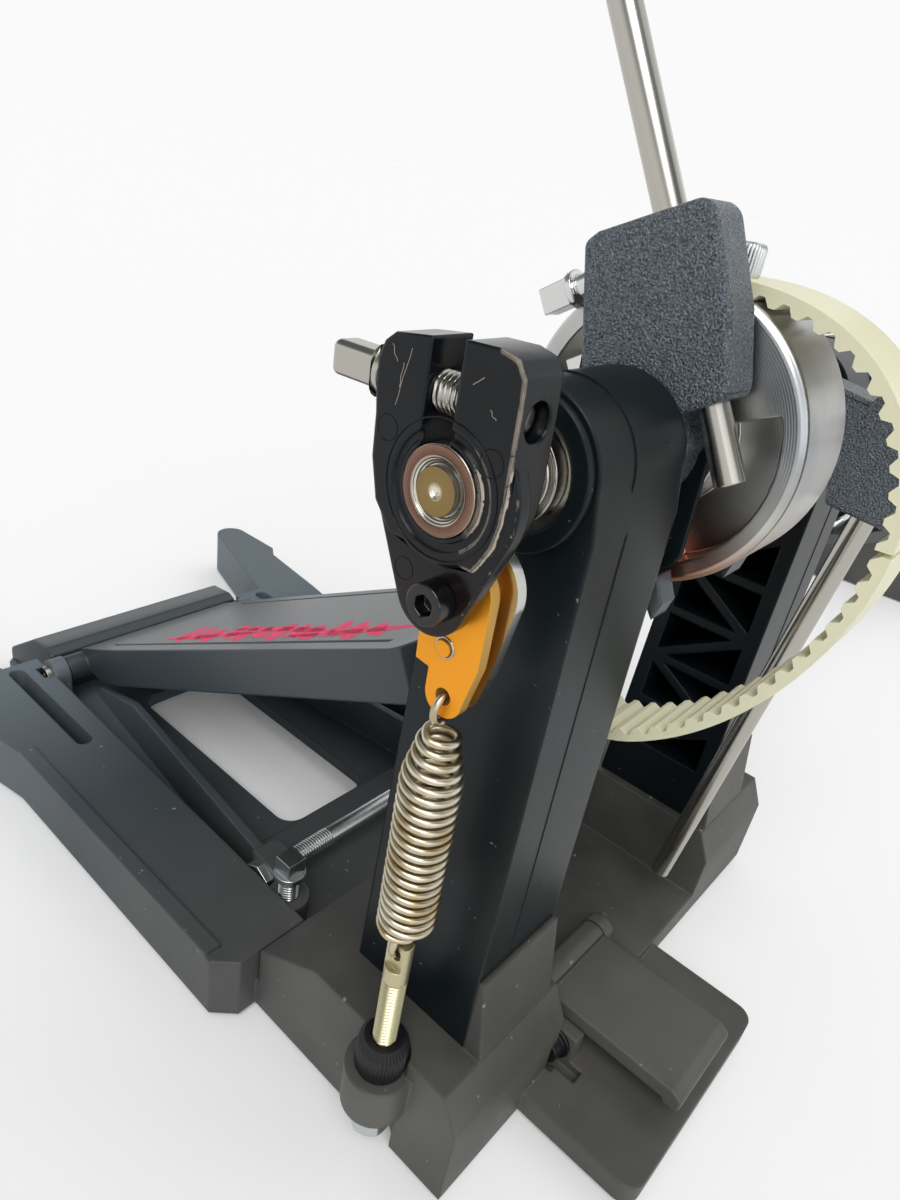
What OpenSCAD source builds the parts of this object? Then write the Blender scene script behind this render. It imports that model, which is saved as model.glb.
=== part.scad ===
// Double bass drum pedal: a main pedal with two beaters, a second pedal to its
// left, and a drive shaft with two universal joints between them.
// +X is the player's right, +Y points at the drum, +Z is up, and the floor is z = 0.
// The origin lies on the floor under the axle, midway across the main footboard.

/* [Axle and posts] */
// Height of the axle above the floor
axle_h = 180; // [170:1:190]
// Diameter of the round axle
axle_d = 8; // [7:0.5:9]
// Inner face of the right post from the middle of the footboard
near_in = 27; // [27:0.5:32]
// Inner face of the left post of the main pedal from the same middle
far_in = 67; // [67:0.5:74]
// Width of a post from its inner to its outer face
post_w = 30; // [28:0.5:32]
// Radius of the post's round top
post_r = 15.2; // [14.8:0.1:17]
// Drum side of a post from the axle
post_front = 16.5; // [16:0.5:20]
// Player side of a post at its foot from the axle
post_back = 20; // [18:0.5:22]
// Thickness of the ribs and walls of a post
post_rib = 3; // [2:0.25:4]
// Outer diameter of the axle bearings
bearing_d = 22; // [20:0.5:23]
// Width of an axle bearing
bearing_w = 7; // [6:0.5:8]

/* [Base frames] */
// Middle of the second pedal from the middle of the main one
pedal_gap = 520; // [500:5:600]
// Thickness of the rubber floor pads
pad_t = 2; // [1.5:0.25:3]
// Thickness of the cast floor plate
plate_t = 5; // [4:0.5:6]
// Half width over the two side rails
rail_out = 82; // [80:1:88]
// Top of the side rails above the floor
rail_h = 24; // [20:1:26]
// Length of the side rails behind the heel hinge
tip_back = 80; // [72:1:90]
// Wall of the hollow rails and feet
cast_wall = 3; // [2.5:0.25:3.5]
// Height of the post feet above the floor
foot_h = 38; // [34:1:42]

/* [Footboards] */
// Distance of the toe's bend behind the axle
bend_back = 37.6; // [36:0.2:40]
// Height of the heel hinge pin
hinge_z = 22; // [20:0.5:24]
// Diameter of the heel hinge pin
hinge_d = 5; // [4:0.25:6]
// Drop of the toe's bend below the axle
bend_drop = 69.6; // [68:0.2:72]
// Half width of a footboard
board_half = 38; // [34:0.5:39]
// Straight length of a footboard from its hinge
board_len = 192; // [180:1:196]
// Length of the raised toe of a footboard
toe_len = 68; // [60:1:70]
// Slope of the raised toe at rest
toe_slope = 36; // [34:0.2:37]
// Depth of a footboard over its side skirts
board_deep = 15; // [13:0.5:17]
// Thickness of a footboard's top
board_t = 3.5; // [3:0.25:5]

/* [Drive cams and belts] */
// Radius of the drive cams
cam_r = 31.5; // [30:0.5:33]
// Width of the drive cams
cam_w = 23; // [21:0.5:23]
// Height of the belt seat above the axle
cam_flat = 28.6; // [27:0.2:29.6]
// Width of the toothed belts
belt_w = 18; // [14:0.5:20]
// Thickness of a belt behind its teeth
belt_t = 1.8; // [1.4:0.1:2.2]
// Height of the belt teeth
tooth_h = 1.5; // [1:0.1:1.8]
// Spacing of the belt teeth
tooth_pitch = 5; // [4:0.25:6]

/* [Beaters] */
// Lean of the right beater towards the player at rest
beater_lean = 31.2; // [25:0.2:36]
// Distance of the beater rods in front of the axle
rod_offset = 18; // [17.5:0.25:19]
// Diameter of the beater rods
rod_d = 6; // [5:0.25:6.5]
// Length of the beater rods
rod_l = 222; // [200:1:230]
// Distance of the left beater rod in front of the axle
left_offset = 34.5; // [30:0.5:38]
// Lean of the left beater rod towards the drum
left_lean = 6.5; // [0:0.5:10]
// Diameter of the beater heads
head_d = 46; // [40:1:50]
// Length of the beater heads
head_l = 34; // [28:1:38]

/* [Springs and hangers] */
// Distance of the spring line outside the post
spring_out = 15; // [14.5:0.25:16]
// Outer diameter of the springs
spring_d = 12.8; // [11:0.2:13.2]
// Outer diameter of the narrow top curl
spring_top_d = 8.6; // [7.6:0.2:9.6]
// Diameter of the spring wire
wire_d = 1.6; // [1.3:0.1:1.8]
// Curls in a spring
spring_curls = 21; // [17:1:22]
// Height of the lowest curl
spring_z0 = 82.5; // [81:0.5:85]
// Drop from the hanger's spring hole to the highest curl
spring_hang = 8.5; // [7.5:0.5:10.5]
// Distance of the hanger pivot below the axle
pivot_drop = 17.8; // [17.4:0.1:18.4]
// Distance of the spring hole below the hanger pivot
hanger_l = 20.7; // [20.2:0.25:22.2]
// Diameter of the tension rods
tension_d = 6; // [5.5:0.25:6.5]

/* [Hoop clamp] */
// Reach of the lower lip in front of the axle
lip_y = 62; // [56:1:66]
// Half width of the lower lip
lip_half = 37; // [32:1:40]
// Thickness of the lower lip
lip_t = 7; // [6:0.5:8]
// Gap between the lip and the jaw at rest
hoop_gap = 8; // [6:0.5:9]
// Half width of the clamp jaw
jaw_half = 15; // [13:0.5:16]
// Thickness of the clamp jaw
jaw_t = 5; // [4:0.5:6]

/* [Hidden] */
$fn = 48;

// Clearances: parts that turn or slide, and parts clamped together
run = 0.06;
seat = 0.02;
// Faces that only need to stand clear of each other sideways
side_gap = 1;

near_out = near_in + post_w;
far_out = far_in + post_w;
axle_r = axle_d / 2;
floor_top = pad_t + plate_t;

// The footboards' slope, and the heel hinges' and rails' distance behind the axle
board_slope = asin((axle_h - bend_drop - hinge_z) / board_len);
toe_bend = toe_slope - board_slope;
hinge_y = bend_back + board_len * cos(board_slope);
rail_back = hinge_y + tip_back;

// Colours
cast_black = [0.13, 0.13, 0.14];
satin_black = [0.09, 0.09, 0.1];
board_grey = [0.17, 0.17, 0.18];
steel = [0.72, 0.72, 0.7];
zinc = [0.83, 0.86, 0.86];
polished = [0.8, 0.8, 0.82];
anodised = [0.95, 0.6, 0.12];
cream = [0.88, 0.86, 0.62];
rubber = [0.06, 0.06, 0.06];
felt = [0.9, 0.88, 0.82];

// A profile of [y, z] points is carried along X from one side to the other
module along_x(x0, x1) {
    translate([x0, 0, 0]) rotate([90, 0, 90]) linear_extrude(x1 - x0) children();
}
// A round bar along X, through the point [y, z]
module bar_x(x0, x1, r, y = 0, z = axle_h) {
    translate([x0, y, z]) rotate([0, 90, 0]) cylinder(h = x1 - x0, r = r);
}
// A six-sided bar along X, given across its flats
module hex_x(x0, x1, flats, y = 0, z = axle_h) {
    translate([x0, y, z]) rotate([0, 90, 0]) cylinder(h = x1 - x0, r = flats / sqrt(3), $fn = 6);
}
// The second pedal is the main one's mirror image, further to the left
module second() {
    translate([-pedal_gap, 0, 0]) mirror([1, 0, 0]) children();
}
// Turns a part about the axle, or about another line along X
module turn_x(angle, y = 0, z = axle_h) {
    translate([0, y, z]) rotate([angle, 0, 0]) translate([0, -y, -z]) children();
}
// A box given by two opposite corners
module box(a, b) {
    translate(a) cube(b - a);
}

// Outline helpers: arcs, a polygon moved inwards by a wall, and a rounded rectangle
function arc(c, r, a0, a1, n = 8) =
    [for (i = [0:n]) c + r * [cos(a0 + (a1 - a0) * i / n), sin(a0 + (a1 - a0) * i / n)]];
function unit(v) = v / norm(v);
function inward(a, b) = let (d = unit(b - a)) [-d[1], d[0]];
function inset(p, w) = let (n = len(p)) [for (i = [0:n - 1])
    let (u = inward(p[(i + n - 1) % n], p[i]), v = inward(p[i], p[(i + 1) % n]))
    p[i] + (u + v) * w / (1 + u * v)];
module round_rect(x0, y0, x1, y1, r) {
    polygon(concat(arc([x1 - r, y0 + r], r, -90, 0), arc([x1 - r, y1 - r], r, 0, 90),
        arc([x0 + r, y1 - r], r, 90, 180), arc([x0 + r, y0 + r], r, 180, 270)));
}

// The exact outline round two circles: both circles and the strip between their tangents
module web(a, ra, b, rb) {
    d = norm(b - a);
    dir = atan2(b[1] - a[1], b[0] - a[0]);
    open = acos((ra - rb) / d);
    translate(a) circle(r = ra);
    translate(b) circle(r = rb);
    polygon([for (e = [[a, ra, open], [b, rb, open], [b, rb, -open], [a, ra, -open]])
        e[0] + e[1] * [cos(dir + e[2]), sin(dir + e[2])]]);
}

// Base frames: hollow side rails, a thin floor with an opening, ribs, feet and hinge lugs
opening_half = 20;
opening_y0 = -hinge_y + 18;
opening_y1 = -92;
rail_in = 53;
rail_front = -46;
deck_back = -88;
deck_front = 27;
deck_h = 12;
foot_y0 = -45;
foot_out = 13;
heel_y = -hinge_y - 44;
lug_x = 44;
lug_w = 6;
lug_r = 6;
slot_x = 61;
slot_r = 3;
slot_y0 = -hinge_y - 5;
slot_y1 = -hinge_y + 48;
tip_r = 8;
rod_y = -70;
rod_z = 20;
spur_x = 49;
spur_y = -58;
spur_r = 3;
spur_boss_r = 6.5;
spur_boss_h = 22;
ear_y = 3.6;
ear_r = 8.6;
ear_z0 = 20;
ear_z1 = 33;
lip_top = pad_t + lip_t;
jaw_z = lip_top + hoop_gap;
jaw_pin_y = 14;
jaw_pin_z = jaw_z + jaw_t / 2;
jaw_pin_r = 2;
bolt_y = 24.6;
bolt_z = 13.2;
bolt_r = 2.5;
bolt_head_r = 5.4;
ear_x = near_out + spring_out;
thumb_r = 6.4;
nut_flats = 10;
rail_end = -hinge_y - 11;

rail_plan = concat([[rail_in, rail_front], [rail_in - 3, rail_end + 14], [rail_in - 3, rail_end],
    [slot_x + 3, rail_end]],
    arc([rail_out + 10, tip_r - rail_back], tip_r, 190, 350, 8),
    [[rail_out + 18, rail_end - 34], [rail_out + 13, rail_end - 27], [rail_out + 7, rail_end + 14],
    [rail_out, rail_end + 51], [rail_out, rail_front - 6], [rail_out - 6, rail_front]]);

module both_sides() {
    children();
    mirror([1, 0, 0]) children();
}
module side_rail() {
    difference() {
        translate([0, 0, pad_t]) linear_extrude(rail_h - pad_t) polygon(rail_plan);
        linear_extrude(rail_h - cast_wall) polygon(inset(rail_plan, cast_wall));
    }
    // A lip along the outer edge of the rail
    box([rail_out - 5, rail_end + 53, rail_h - 1], [rail_out, rail_front - 8, rail_h + 1.4]);
    // A wall round the slot in the rail
    translate([0, 0, pad_t]) linear_extrude(rail_h - pad_t)
        round_rect(slot_x - slot_r - 2, slot_y0 - slot_r - 2, slot_x + slot_r + 2, slot_y1 + slot_r + 2,
            slot_r + 2);
}
// The ribs fall away towards the hinge, under the footboard's skirts
module diagonal_rib() {
    intersection() {
        translate([0, 0, pad_t]) linear_extrude(rail_h - pad_t)
            polygon([[30, 8 - hinge_y], [33, 7 - hinge_y], [47, deck_back + 12], [44, deck_back + 14]]);
        along_x(28, 50) polygon([[6 - hinge_y, 0], [6 - hinge_y, 12], [40 - hinge_y, rail_h],
            [deck_back + 16, rail_h], [deck_back + 16, 0]]);
    }
}
module hinge_lug() {
    along_x(lug_x, lug_x + lug_w) union() {
        translate([-hinge_y, hinge_z]) circle(r = lug_r);
        translate([-hinge_y - lug_r, pad_t]) square([2 * lug_r, hinge_z - pad_t]);
    }
}
foot_profile = [[foot_y0, pad_t], [deck_front, pad_t], [deck_front, foot_h - 10], [deck_front - 5, foot_h],
    [-post_back - 3, foot_h], [foot_y0, foot_h - 13]];
module foot(inner) {
    along_x(inner - cast_wall, inner + post_w + foot_out) polygon(foot_profile);
    // The raised collar in front of the post
    along_x(inner, inner + post_w) polygon([[post_front, foot_h - 1], [deck_front - 5, foot_h - 1],
        [post_front + 1.5, foot_h + 24], [post_front, foot_h + 24]]);
}
// A foot is open below, with a thicker wall beside the spring ear
module foot_hollow(inner) {
    difference() {
        along_x(inner, inner + post_w + foot_out - cast_wall)
            polygon([for (p = inset(foot_profile, cast_wall)) [p[0], p[1] < pad_t + cast_wall + 1 ? -1 : p[1]]]);
        translate([inner + post_w + spring_out, ear_y, -2])
            cylinder(h = foot_h + 4, r = thumb_r + 0.6 + cast_wall);
    }
}
// Room beside a foot for the tension rod, the thumb nut above its ear and the lock nut below
module nut_room() {
    translate([ear_x, ear_y, -2]) cylinder(h = foot_h, r = tension_d / 2 + seat);
    translate([ear_x, ear_y, -2]) cylinder(h = ear_z0 + 2, r = nut_flats / sqrt(3) + 0.6);
    translate([ear_x, ear_y, ear_z1]) cylinder(h = foot_h, r = thumb_r + 0.6);
}
// The hollow under the deck between the feet
module deck_hollow(far_inner) {
    translate([0, 0, -1]) linear_extrude(deck_h - cast_wall + 1)
        round_rect(-far_inner + 2 * cast_wall, rail_front - 7, near_in - 2 * cast_wall, -12, 3);
}
module deck(x0, x1, left_spur_x) {
    difference() {
        translate([0, 0, pad_t]) linear_extrude(deck_h - pad_t)
            polygon([[x0, rail_front - 4], [-rail_in, rail_front - 4], [-rail_in, deck_back],
                [rail_in, deck_back], [rail_in, rail_front - 4], [x1, rail_front - 4],
                [x1, deck_front], [x0, deck_front]]);
        translate([0, 0, -1]) linear_extrude(deck_h - cast_wall + 1)
            round_rect(-rail_in + 5, deck_back + cast_wall, rail_in - 5, rail_front - 6, 3);
    }
    // Blocks that carry the cross rod, and the spur bosses
    both_sides() box([40, rod_y - 6, pad_t], [49, rod_y + 6, rod_z + 6]);
    for (x = [spur_x, -left_spur_x]) translate([x, spur_y, pad_t])
        cylinder(h = spur_boss_h - pad_t, r = spur_boss_r);
}
module ear() {
    difference() {
        union() {
            translate([ear_x, ear_y, ear_z0]) cylinder(h = ear_z1 - ear_z0, r = ear_r);
            box([near_out + foot_out - 1, ear_y - ear_r, ear_z0], [ear_x, ear_y + ear_r, ear_z1]);
        }
        translate([ear_x, ear_y, 0]) cylinder(h = foot_h, r = tension_d / 2 + seat);
    }
}
module clamp_seat() {
    // The lower lip of the hoop clamp and the lugs of its jaw
    translate([0, 0, pad_t]) linear_extrude(lip_t)
        round_rect(-lip_half, deck_front - 10, lip_half, lip_y, 5);
    both_sides() along_x(jaw_half + 0.4, jaw_half + 4.6) union() {
        translate([jaw_pin_y, jaw_pin_z]) circle(r = 4.6);
        translate([jaw_pin_y - 4.6, deck_h - 2]) square([9.2, jaw_pin_z - deck_h + 2]);
        translate([jaw_pin_y, lip_top - 1]) square([deck_front - jaw_pin_y + 4, 10]);
    }
}
// The left spur of the wider main base stands further out
function far_spur_x(far_inner) = far_inner > near_in + 20 ? 60 : spur_x;
module base_casting(far_inner, clamp) {
    difference() {
        union() {
            both_sides() {
                side_rail();
                diagonal_rib();
                hinge_lug();
            }
            translate([0, 0, pad_t]) linear_extrude(plate_t) polygon([[-rail_in, deck_back + 2],
                [-rail_in, rail_end], [-50, heel_y + 4], [-46, heel_y], [46, heel_y], [50, heel_y + 4],
                [rail_in, rail_end], [rail_in, deck_back + 2]]);
            deck(-far_inner - post_w - foot_out + 3, near_out + foot_out, far_spur_x(far_inner));
            foot(near_in);
            mirror([1, 0, 0]) foot(far_inner);
            if (clamp) clamp_seat();
        }
        foot_hollow(near_in);
        mirror([1, 0, 0]) foot_hollow(far_inner);
        deck_hollow(far_inner);
        nut_room();
        translate([0, 0, -1]) linear_extrude(rail_h + 20)
            round_rect(-opening_half, opening_y0, opening_half, opening_y1, 7);
        both_sides() {
            translate([0, 0, -1]) linear_extrude(rail_h + 20) round_rect(slot_x - slot_r,
                slot_y0 - slot_r, slot_x + slot_r, slot_y1 + slot_r, slot_r - 0.01);
            bar_x(lug_x - 1, lug_x + lug_w + 1, hinge_d / 2 + seat, -hinge_y, hinge_z);
            bar_x(lug_x + lug_w, lug_x + lug_w + 4, 4.4, -hinge_y, hinge_z);
            bar_x(39, 50, 3 + seat, rod_y, rod_z);
        }
        for (x = [spur_x, -far_spur_x(far_inner)]) translate([x, spur_y, -1])
            cylinder(h = rail_h + 3, r = spur_r + run);
        for (x = [near_in + post_w / 2, -far_inner - post_w / 2], y = screw_ys)
            translate([x, y, foot_h - 8]) cylinder(h = 9, r = screw_r + seat);
        if (clamp) {
            bar_x(-jaw_half - 6, jaw_half + 6, jaw_pin_r + seat, jaw_pin_y, jaw_pin_z);
            bar_x(jaw_half, jaw_half + 6, bolt_r + run, bolt_y, bolt_z);
            // The trench under the jaw and the recess round the bolt's head
            box([-jaw_half - 0.3, bolt_y - 5, lip_top - 0.6], [jaw_half + 0.3, deck_front + 2, deck_h + 20]);
            box([jaw_half + 4.6, bolt_y - 8, bolt_z - 7], [near_in - 3.1, deck_front + 8, deck_h + 20]);
            bar_x(jaw_half + 4.6, jaw_half + 11, bolt_head_r + 0.6, bolt_y, bolt_z);
        }
    }
}
module base_frame() {
    color(cast_black) {
        base_casting(far_in, true);
        ear();
    }
}
module second_base_frame() {
    color(cast_black) second() {
        base_casting(near_in, false);
        ear();
    }
}
module pads(far_inner) {
    both_sides() translate([rail_out + 10, 12 - rail_back, 0]) cylinder(h = pad_t, r = 5);
    linear_extrude(pad_t) round_rect(-44, heel_y + 3, 44, 2 - hinge_y, 4);
    // The front pad has windows under the hollows of the feet and the deck
    difference() {
        linear_extrude(pad_t)
            round_rect(-far_inner - post_w - 8, foot_y0 + 1, near_out + 8, deck_front - 1, 2);
        foot_hollow(near_in);
        mirror([1, 0, 0]) foot_hollow(far_inner);
        deck_hollow(far_inner);
        nut_room();
    }
}
module floor_pads() {
    color(rubber) {
        pads(far_in);
        second() pads(near_in);
    }
}

// Heel plates: cast covers with sloping flanks behind the hinge
module heel_cover() {
    front = -hinge_y - lug_r - 0.5;
    intersection() {
        along_x(-60, 60) polygon([[heel_y + 2, floor_top], [front, floor_top], [front, hinge_z + 3.5],
            [front - 4, hinge_z + 5.5], [front - 16, hinge_z + 4], [heel_y + 2, floor_top + 6]]);
        translate([0, heel_y + 100, 0]) rotate([90, 0, 0]) linear_extrude(100)
            polygon([[-48, 0], [48, 0], [48, floor_top + 4], [41, 60], [-41, 60], [-48, floor_top + 4]]);
    }
}
module heel_plate() {
    color(board_grey) heel_cover();
}
module second_heel_plate() {
    color(board_grey) second() heel_cover();
}

// Pins: the heel hinges of both pedals, and the jaw's hinge
module heel_pin() {
    bar_x(-lug_x - lug_w, lug_x + lug_w, hinge_d / 2, -hinge_y, hinge_z);
    both_sides() difference() {
        bar_x(lug_x + lug_w, lug_x + lug_w + 2.5, 4, -hinge_y, hinge_z);
        hex_x(lug_x + lug_w + 1, lug_x + lug_w + 3, 3, -hinge_y, hinge_z);
    }
}
module hinge_pins() {
    color(steel) {
        heel_pin();
        second() heel_pin();
        bar_x(-jaw_half - 4.6, jaw_half + 4.6, jaw_pin_r, jaw_pin_y, jaw_pin_z);
    }
}

// Posts: round-topped castings, open on the inner side, with zigzag ribs in the channel
screw_ys = [-11, 9];
screw_r = 2.5;
passage_r = 8.4;
rib_z0 = foot_h + 17;
rib_z1 = axle_h - 19;
rib_n = 6;
module post_outline() {
    translate([0, axle_h]) circle(r = post_r);
    polygon([[-post_back, foot_h], [post_front, foot_h], [post_front, axle_h - 8], [post_r, axle_h],
        [-post_r, axle_h], [-post_r - 0.6, axle_h - 20]]);
}
// Back and front walls of the channel at a height
function back_wall(z) = -post_back + (post_back - post_r - 0.6) * (z - foot_h) / (axle_h - 20 - foot_h)
    + post_rib;
function front_wall(z) = post_front - post_rib;
module rib_pocket(i) {
    h = (rib_z1 - rib_z0) / rib_n;
    z0 = rib_z0 + i * h;
    z1 = z0 + h;
    even = i % 2 == 0;
    // Two triangles, one on each side of the diagonal rib of this bay
    polygon(inset(even ? [[back_wall(z0), z0], [front_wall(z0), z0], [front_wall(z1), z1]]
        : [[back_wall(z0), z0], [front_wall(z0), z0], [back_wall(z1), z1]], post_rib / 2));
    polygon(inset(even ? [[back_wall(z0), z0], [front_wall(z1), z1], [back_wall(z1), z1]]
        : [[front_wall(z0), z0], [front_wall(z1), z1], [back_wall(z1), z1]], post_rib / 2));
}
module post() {
    difference() {
        along_x(near_in, near_out) post_outline();
        along_x(near_in - 1, near_out - 4) for (i = [0:rib_n - 1]) rib_pocket(i);
        bar_x(near_out - bearing_w, near_out + 1, bearing_d / 2 + seat);
        bar_x(near_in - 1, near_out, passage_r);
        for (y = screw_ys)
            translate([near_in + post_w / 2, y, foot_h - 1]) cylinder(h = 14, r = screw_r + seat);
    }
}
module far_side(inner) {
    translate([near_in - inner, 0, 0]) mirror([1, 0, 0]) children();
}
module near_post() {
    color(satin_black) post();
}
module far_post() {
    color(satin_black) far_side(far_in) post();
}
module second_posts() {
    color(satin_black) second() {
        post();
        far_side(near_in) post();
    }
}
module four_posts() {
    children();
    far_side(far_in) children();
    second() {
        children();
        far_side(near_in) children();
    }
}
module post_screws() {
    color(steel) four_posts() for (y = screw_ys) translate([near_in + post_w / 2, y, 0]) {
        translate([0, 0, foot_h - cast_wall]) cylinder(h = cast_wall + 12, r = screw_r);
        translate([0, 0, foot_h - cast_wall - 4]) cylinder(h = 4, r = 4.5);
    }
}
// Bearings: an outer ring with its shields in each post, behind a black cover ring
race_r = bearing_d / 2 - 1.8;
inner_race_r = 7.2;
cover_r = 14.5;
cover_t = 2;
module outer_ring() {
    x0 = near_out - bearing_w;
    difference() {
        bar_x(x0, near_out, bearing_d / 2);
        bar_x(x0 - 1, near_out + 1, inner_race_r + run);
        bar_x(x0 + 0.8, near_out - 0.8, race_r);
    }
}
module bearing_outer_rings() {
    color(steel) four_posts() outer_ring();
}
module bearing_covers() {
    color(satin_black) four_posts() difference() {
        bar_x(near_out, near_out + cover_t, cover_r);
        bar_x(near_out - 1, near_out + cover_t + 1, bearing_d / 2 - 0.3);
    }
}

// Footboards, drawn level with the hinge at the origin and then turned up
board_top = 6.5;
bend = [board_len, board_top];
toe_dir = [cos(toe_bend), sin(toe_bend)];
toe_up = [-sin(toe_bend), cos(toe_bend)];
function toe(l, w) = bend + l * toe_dir + w * toe_up;
barrel_r = 5.4;
// The toe passes between the posts
toe_half = near_in - 2;
clamp_l0 = 28;
clamp_l1 = 50;
toe_slot_x = [-13, 16];
clamp_screw_x = [-3.5, 6.5];
belt_x = (near_in - cam_w) / 2 - 0.5;
module on_board() {
    translate([0, -hinge_y, hinge_z]) rotate([board_slope, 0, 0]) children();
}
module board_side() {
    polygon(concat([[5, -4], [16, board_top - board_deep],
        [board_len + board_deep * tan(toe_bend / 2), board_top - board_deep]],
        [toe(toe_len - 12, -board_deep), toe(toe_len - 1, -6), toe(toe_len, 0)],
        [bend, [3, board_top], [-2, 4]]));
}
module board_hollow() {
    polygon([[18, -40], [18, board_top - board_t], [board_len, board_top - board_t],
        toe(toe_len - 4, -board_t), toe(toe_len - 4, -50)]);
}
module board_body() {
    difference() {
        union() {
            intersection() {
                union() {
                    difference() {
                        along_x(-board_half, board_half) board_side();
                        along_x(-board_half + 3, board_half - 3) board_hollow();
                    }
                    for (u = [50:46:142])
                        box([-board_half + 1, u, board_top - board_deep + 3],
                            [board_half - 1, u + 2.5, board_top - 1]);
                    for (x = [-18, 16])
                        box([x, 17, board_top - board_deep + 5], [x + 2.2, board_len - 8, board_top - 1]);
                }
                translate([0, 0, -30]) linear_extrude(90) both_sides() polygon([[-0.1, -8],
                    [board_half - 3, -8], [board_half, 40], [board_half, board_len + 4],
                    [toe_half, board_len + 14], [toe_half, board_len + toe_len - 12],
                    [toe_half - 5, board_len + toe_len + 6], [-0.1, board_len + toe_len + 6]]);
            }
            bar_x(-lug_x + 0.6, lug_x - 0.6, barrel_r, 0, 0);
        }
        bar_x(-lug_x, lug_x, hinge_d / 2 + run, 0, 0);
        // The toe is open under the cam, and drilled for the belt clamp
        box([toe_slot_x[0], toe(clamp_l1 + 2, 0)[0], 0], [toe_slot_x[1], board_len + toe_len + 9, 60]);
        for (x = clamp_screw_x) at_toe() translate([x, (clamp_l0 + clamp_l1) / 2, -20])
            cylinder(h = 30, r = 2 + seat);
        // Two shallow grooves along the top
        for (x = [-board_half + 6, board_half - 8])
            box([x, 24, board_top - 0.8], [x + 2, board_len - 6, board_top + 1]);
    }
}
module at_toe() {
    translate([0, bend[0], bend[1]]) rotate([toe_bend, 0, 0]) children();
}
module clamp_plates() {
    at_toe() {
        for (z = [0, -board_t - belt_t - tooth_h - 2.5]) difference() {
            translate([0, 0, z]) linear_extrude(2)
                round_rect(belt_x - 11, clamp_l0, belt_x + 11, clamp_l1, 2);
            for (x = clamp_screw_x) translate([x, (clamp_l0 + clamp_l1) / 2, z - 1])
                cylinder(h = 4, r = 2 + seat);
        }
        for (x = clamp_screw_x) translate([x, (clamp_l0 + clamp_l1) / 2, 0]) {
            translate([0, 0, -11]) cylinder(h = 13, r = 2);
            difference() {
                translate([0, 0, 2]) cylinder(h = 1.6, r = 3.6);
                translate([0, 0, 2.6]) cylinder(h = 2, r = 1.4, $fn = 6);
            }
        }
    }
}
module footboard() {
    color(board_grey) on_board() board_body();
}
module toe_clamp() {
    color(zinc) on_board() clamp_plates();
}
module second_footboard() {
    second() {
        color(board_grey) on_board() board_body();
        color(zinc) on_board() clamp_plates();
    }
}

// Belts: a cubic curve gives the middle line, and the teeth stand on its inner side
function cubic(p, t) = pow(1 - t, 3) * p[0] + 3 * t * pow(1 - t, 2) * p[1]
    + 3 * t * t * (1 - t) * p[2] + pow(t, 3) * p[3];
function sweep(p) = [for (i = [0:24]) cubic(p, i / 24)];
function pieces(a, b) = concat(a, [for (i = [1:len(b) - 1]) b[i]]);
// The same path again, with its points at one even spacing
function lengths(p) = [for (i = 0, s = 0; i < len(p); s = s + (i + 1 < len(p) ? norm(p[i + 1] - p[i]) : 0),
    i = i + 1) s];
function even(p, step) = let (s = lengths(p), n = floor(s[len(s) - 1] / step))
    [for (k = [0:n]) [for (c = [0, 1]) lookup(k * step, [for (i = [0:len(p) - 1]) [s[i], p[i][c]]])]];
belt_z = axle_h + cam_flat + tooth_h + belt_t / 2;
belt_out = [50, axle_h - 8];
belt_low = [14, axle_h - 71];
belt_back = [-22, axle_h - 65];
function toe_world(l, w) = let (q = toe(l, w)) [-hinge_y + q[0] * cos(board_slope) - q[1] * sin(board_slope),
    hinge_z + q[0] * sin(board_slope) + q[1] * cos(board_slope)];
belt_end = toe_world(clamp_l0 + 1, -board_t - belt_t / 2 - 0.1);
belt_end2 = toe_world(clamp_l1 - 2, -board_t - belt_t / 2 - 0.1);
upper_path = even(pieces(sweep([[-11, belt_z], [-5, belt_z], [2, belt_z], [9, belt_z]]),
    sweep([[9, belt_z], [33, belt_z], [50, axle_h + 15], belt_out])), tooth_pitch / 4);
lower_path = even(pieces(pieces(sweep([belt_out, [50, axle_h - 30], [36, axle_h - 58], belt_low]),
    sweep([belt_low, [1, axle_h - 78], [-22, axle_h - 79], belt_back])),
    pieces(sweep([belt_back, [-22, axle_h - 58], belt_end - 7 * unit(belt_end2 - belt_end), belt_end]),
    sweep([belt_end, belt_end + (belt_end2 - belt_end) / 3, belt_end2 - (belt_end2 - belt_end) / 3,
        belt_end2]))), tooth_pitch / 4);
function side_of(p, i) = let (n = len(p), d = unit(p[min(i + 1, n - 1)] - p[max(i - 1, 0)])) [-d[1], d[0]];
// Teeth rise on two of every four points along the inner side
function belt_outline(p) = concat(
    [for (i = [0:len(p) - 1]) if (i % 2 == 0 || i == len(p) - 1) p[i] + side_of(p, i) * belt_t / 2],
    [for (i = [len(p) - 1:-1:0]) p[i] - side_of(p, i) * (belt_t / 2 + (i % 4 == 1 || i % 4 == 2 ? tooth_h : 0))]);
module belt(path) {
    along_x(belt_x - belt_w / 2, belt_x + belt_w / 2) polygon(belt_outline(path));
}
belt_screw_y = 3;
module cam_belt() {
    difference() {
        belt(upper_path);
        translate([belt_x, belt_screw_y, axle_h]) cylinder(h = 50, r = 3 + seat);
    }
}
// The lower belt's end is held between the toe's plates, round their two screws
module toe_belt() {
    difference() {
        belt(lower_path);
        on_board() at_toe() for (x = clamp_screw_x) translate([x, (clamp_l0 + clamp_l1) / 2, -20])
            cylinder(h = 30, r = 2 + seat);
    }
}
module belt_upper() {
    color(cream) cam_belt();
}
module belt_lower() {
    color(cream) toe_belt();
}
module second_belt_upper() {
    color(cream) second() cam_belt();
}
module second_belt_lower() {
    color(cream) second() toe_belt();
}

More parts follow.
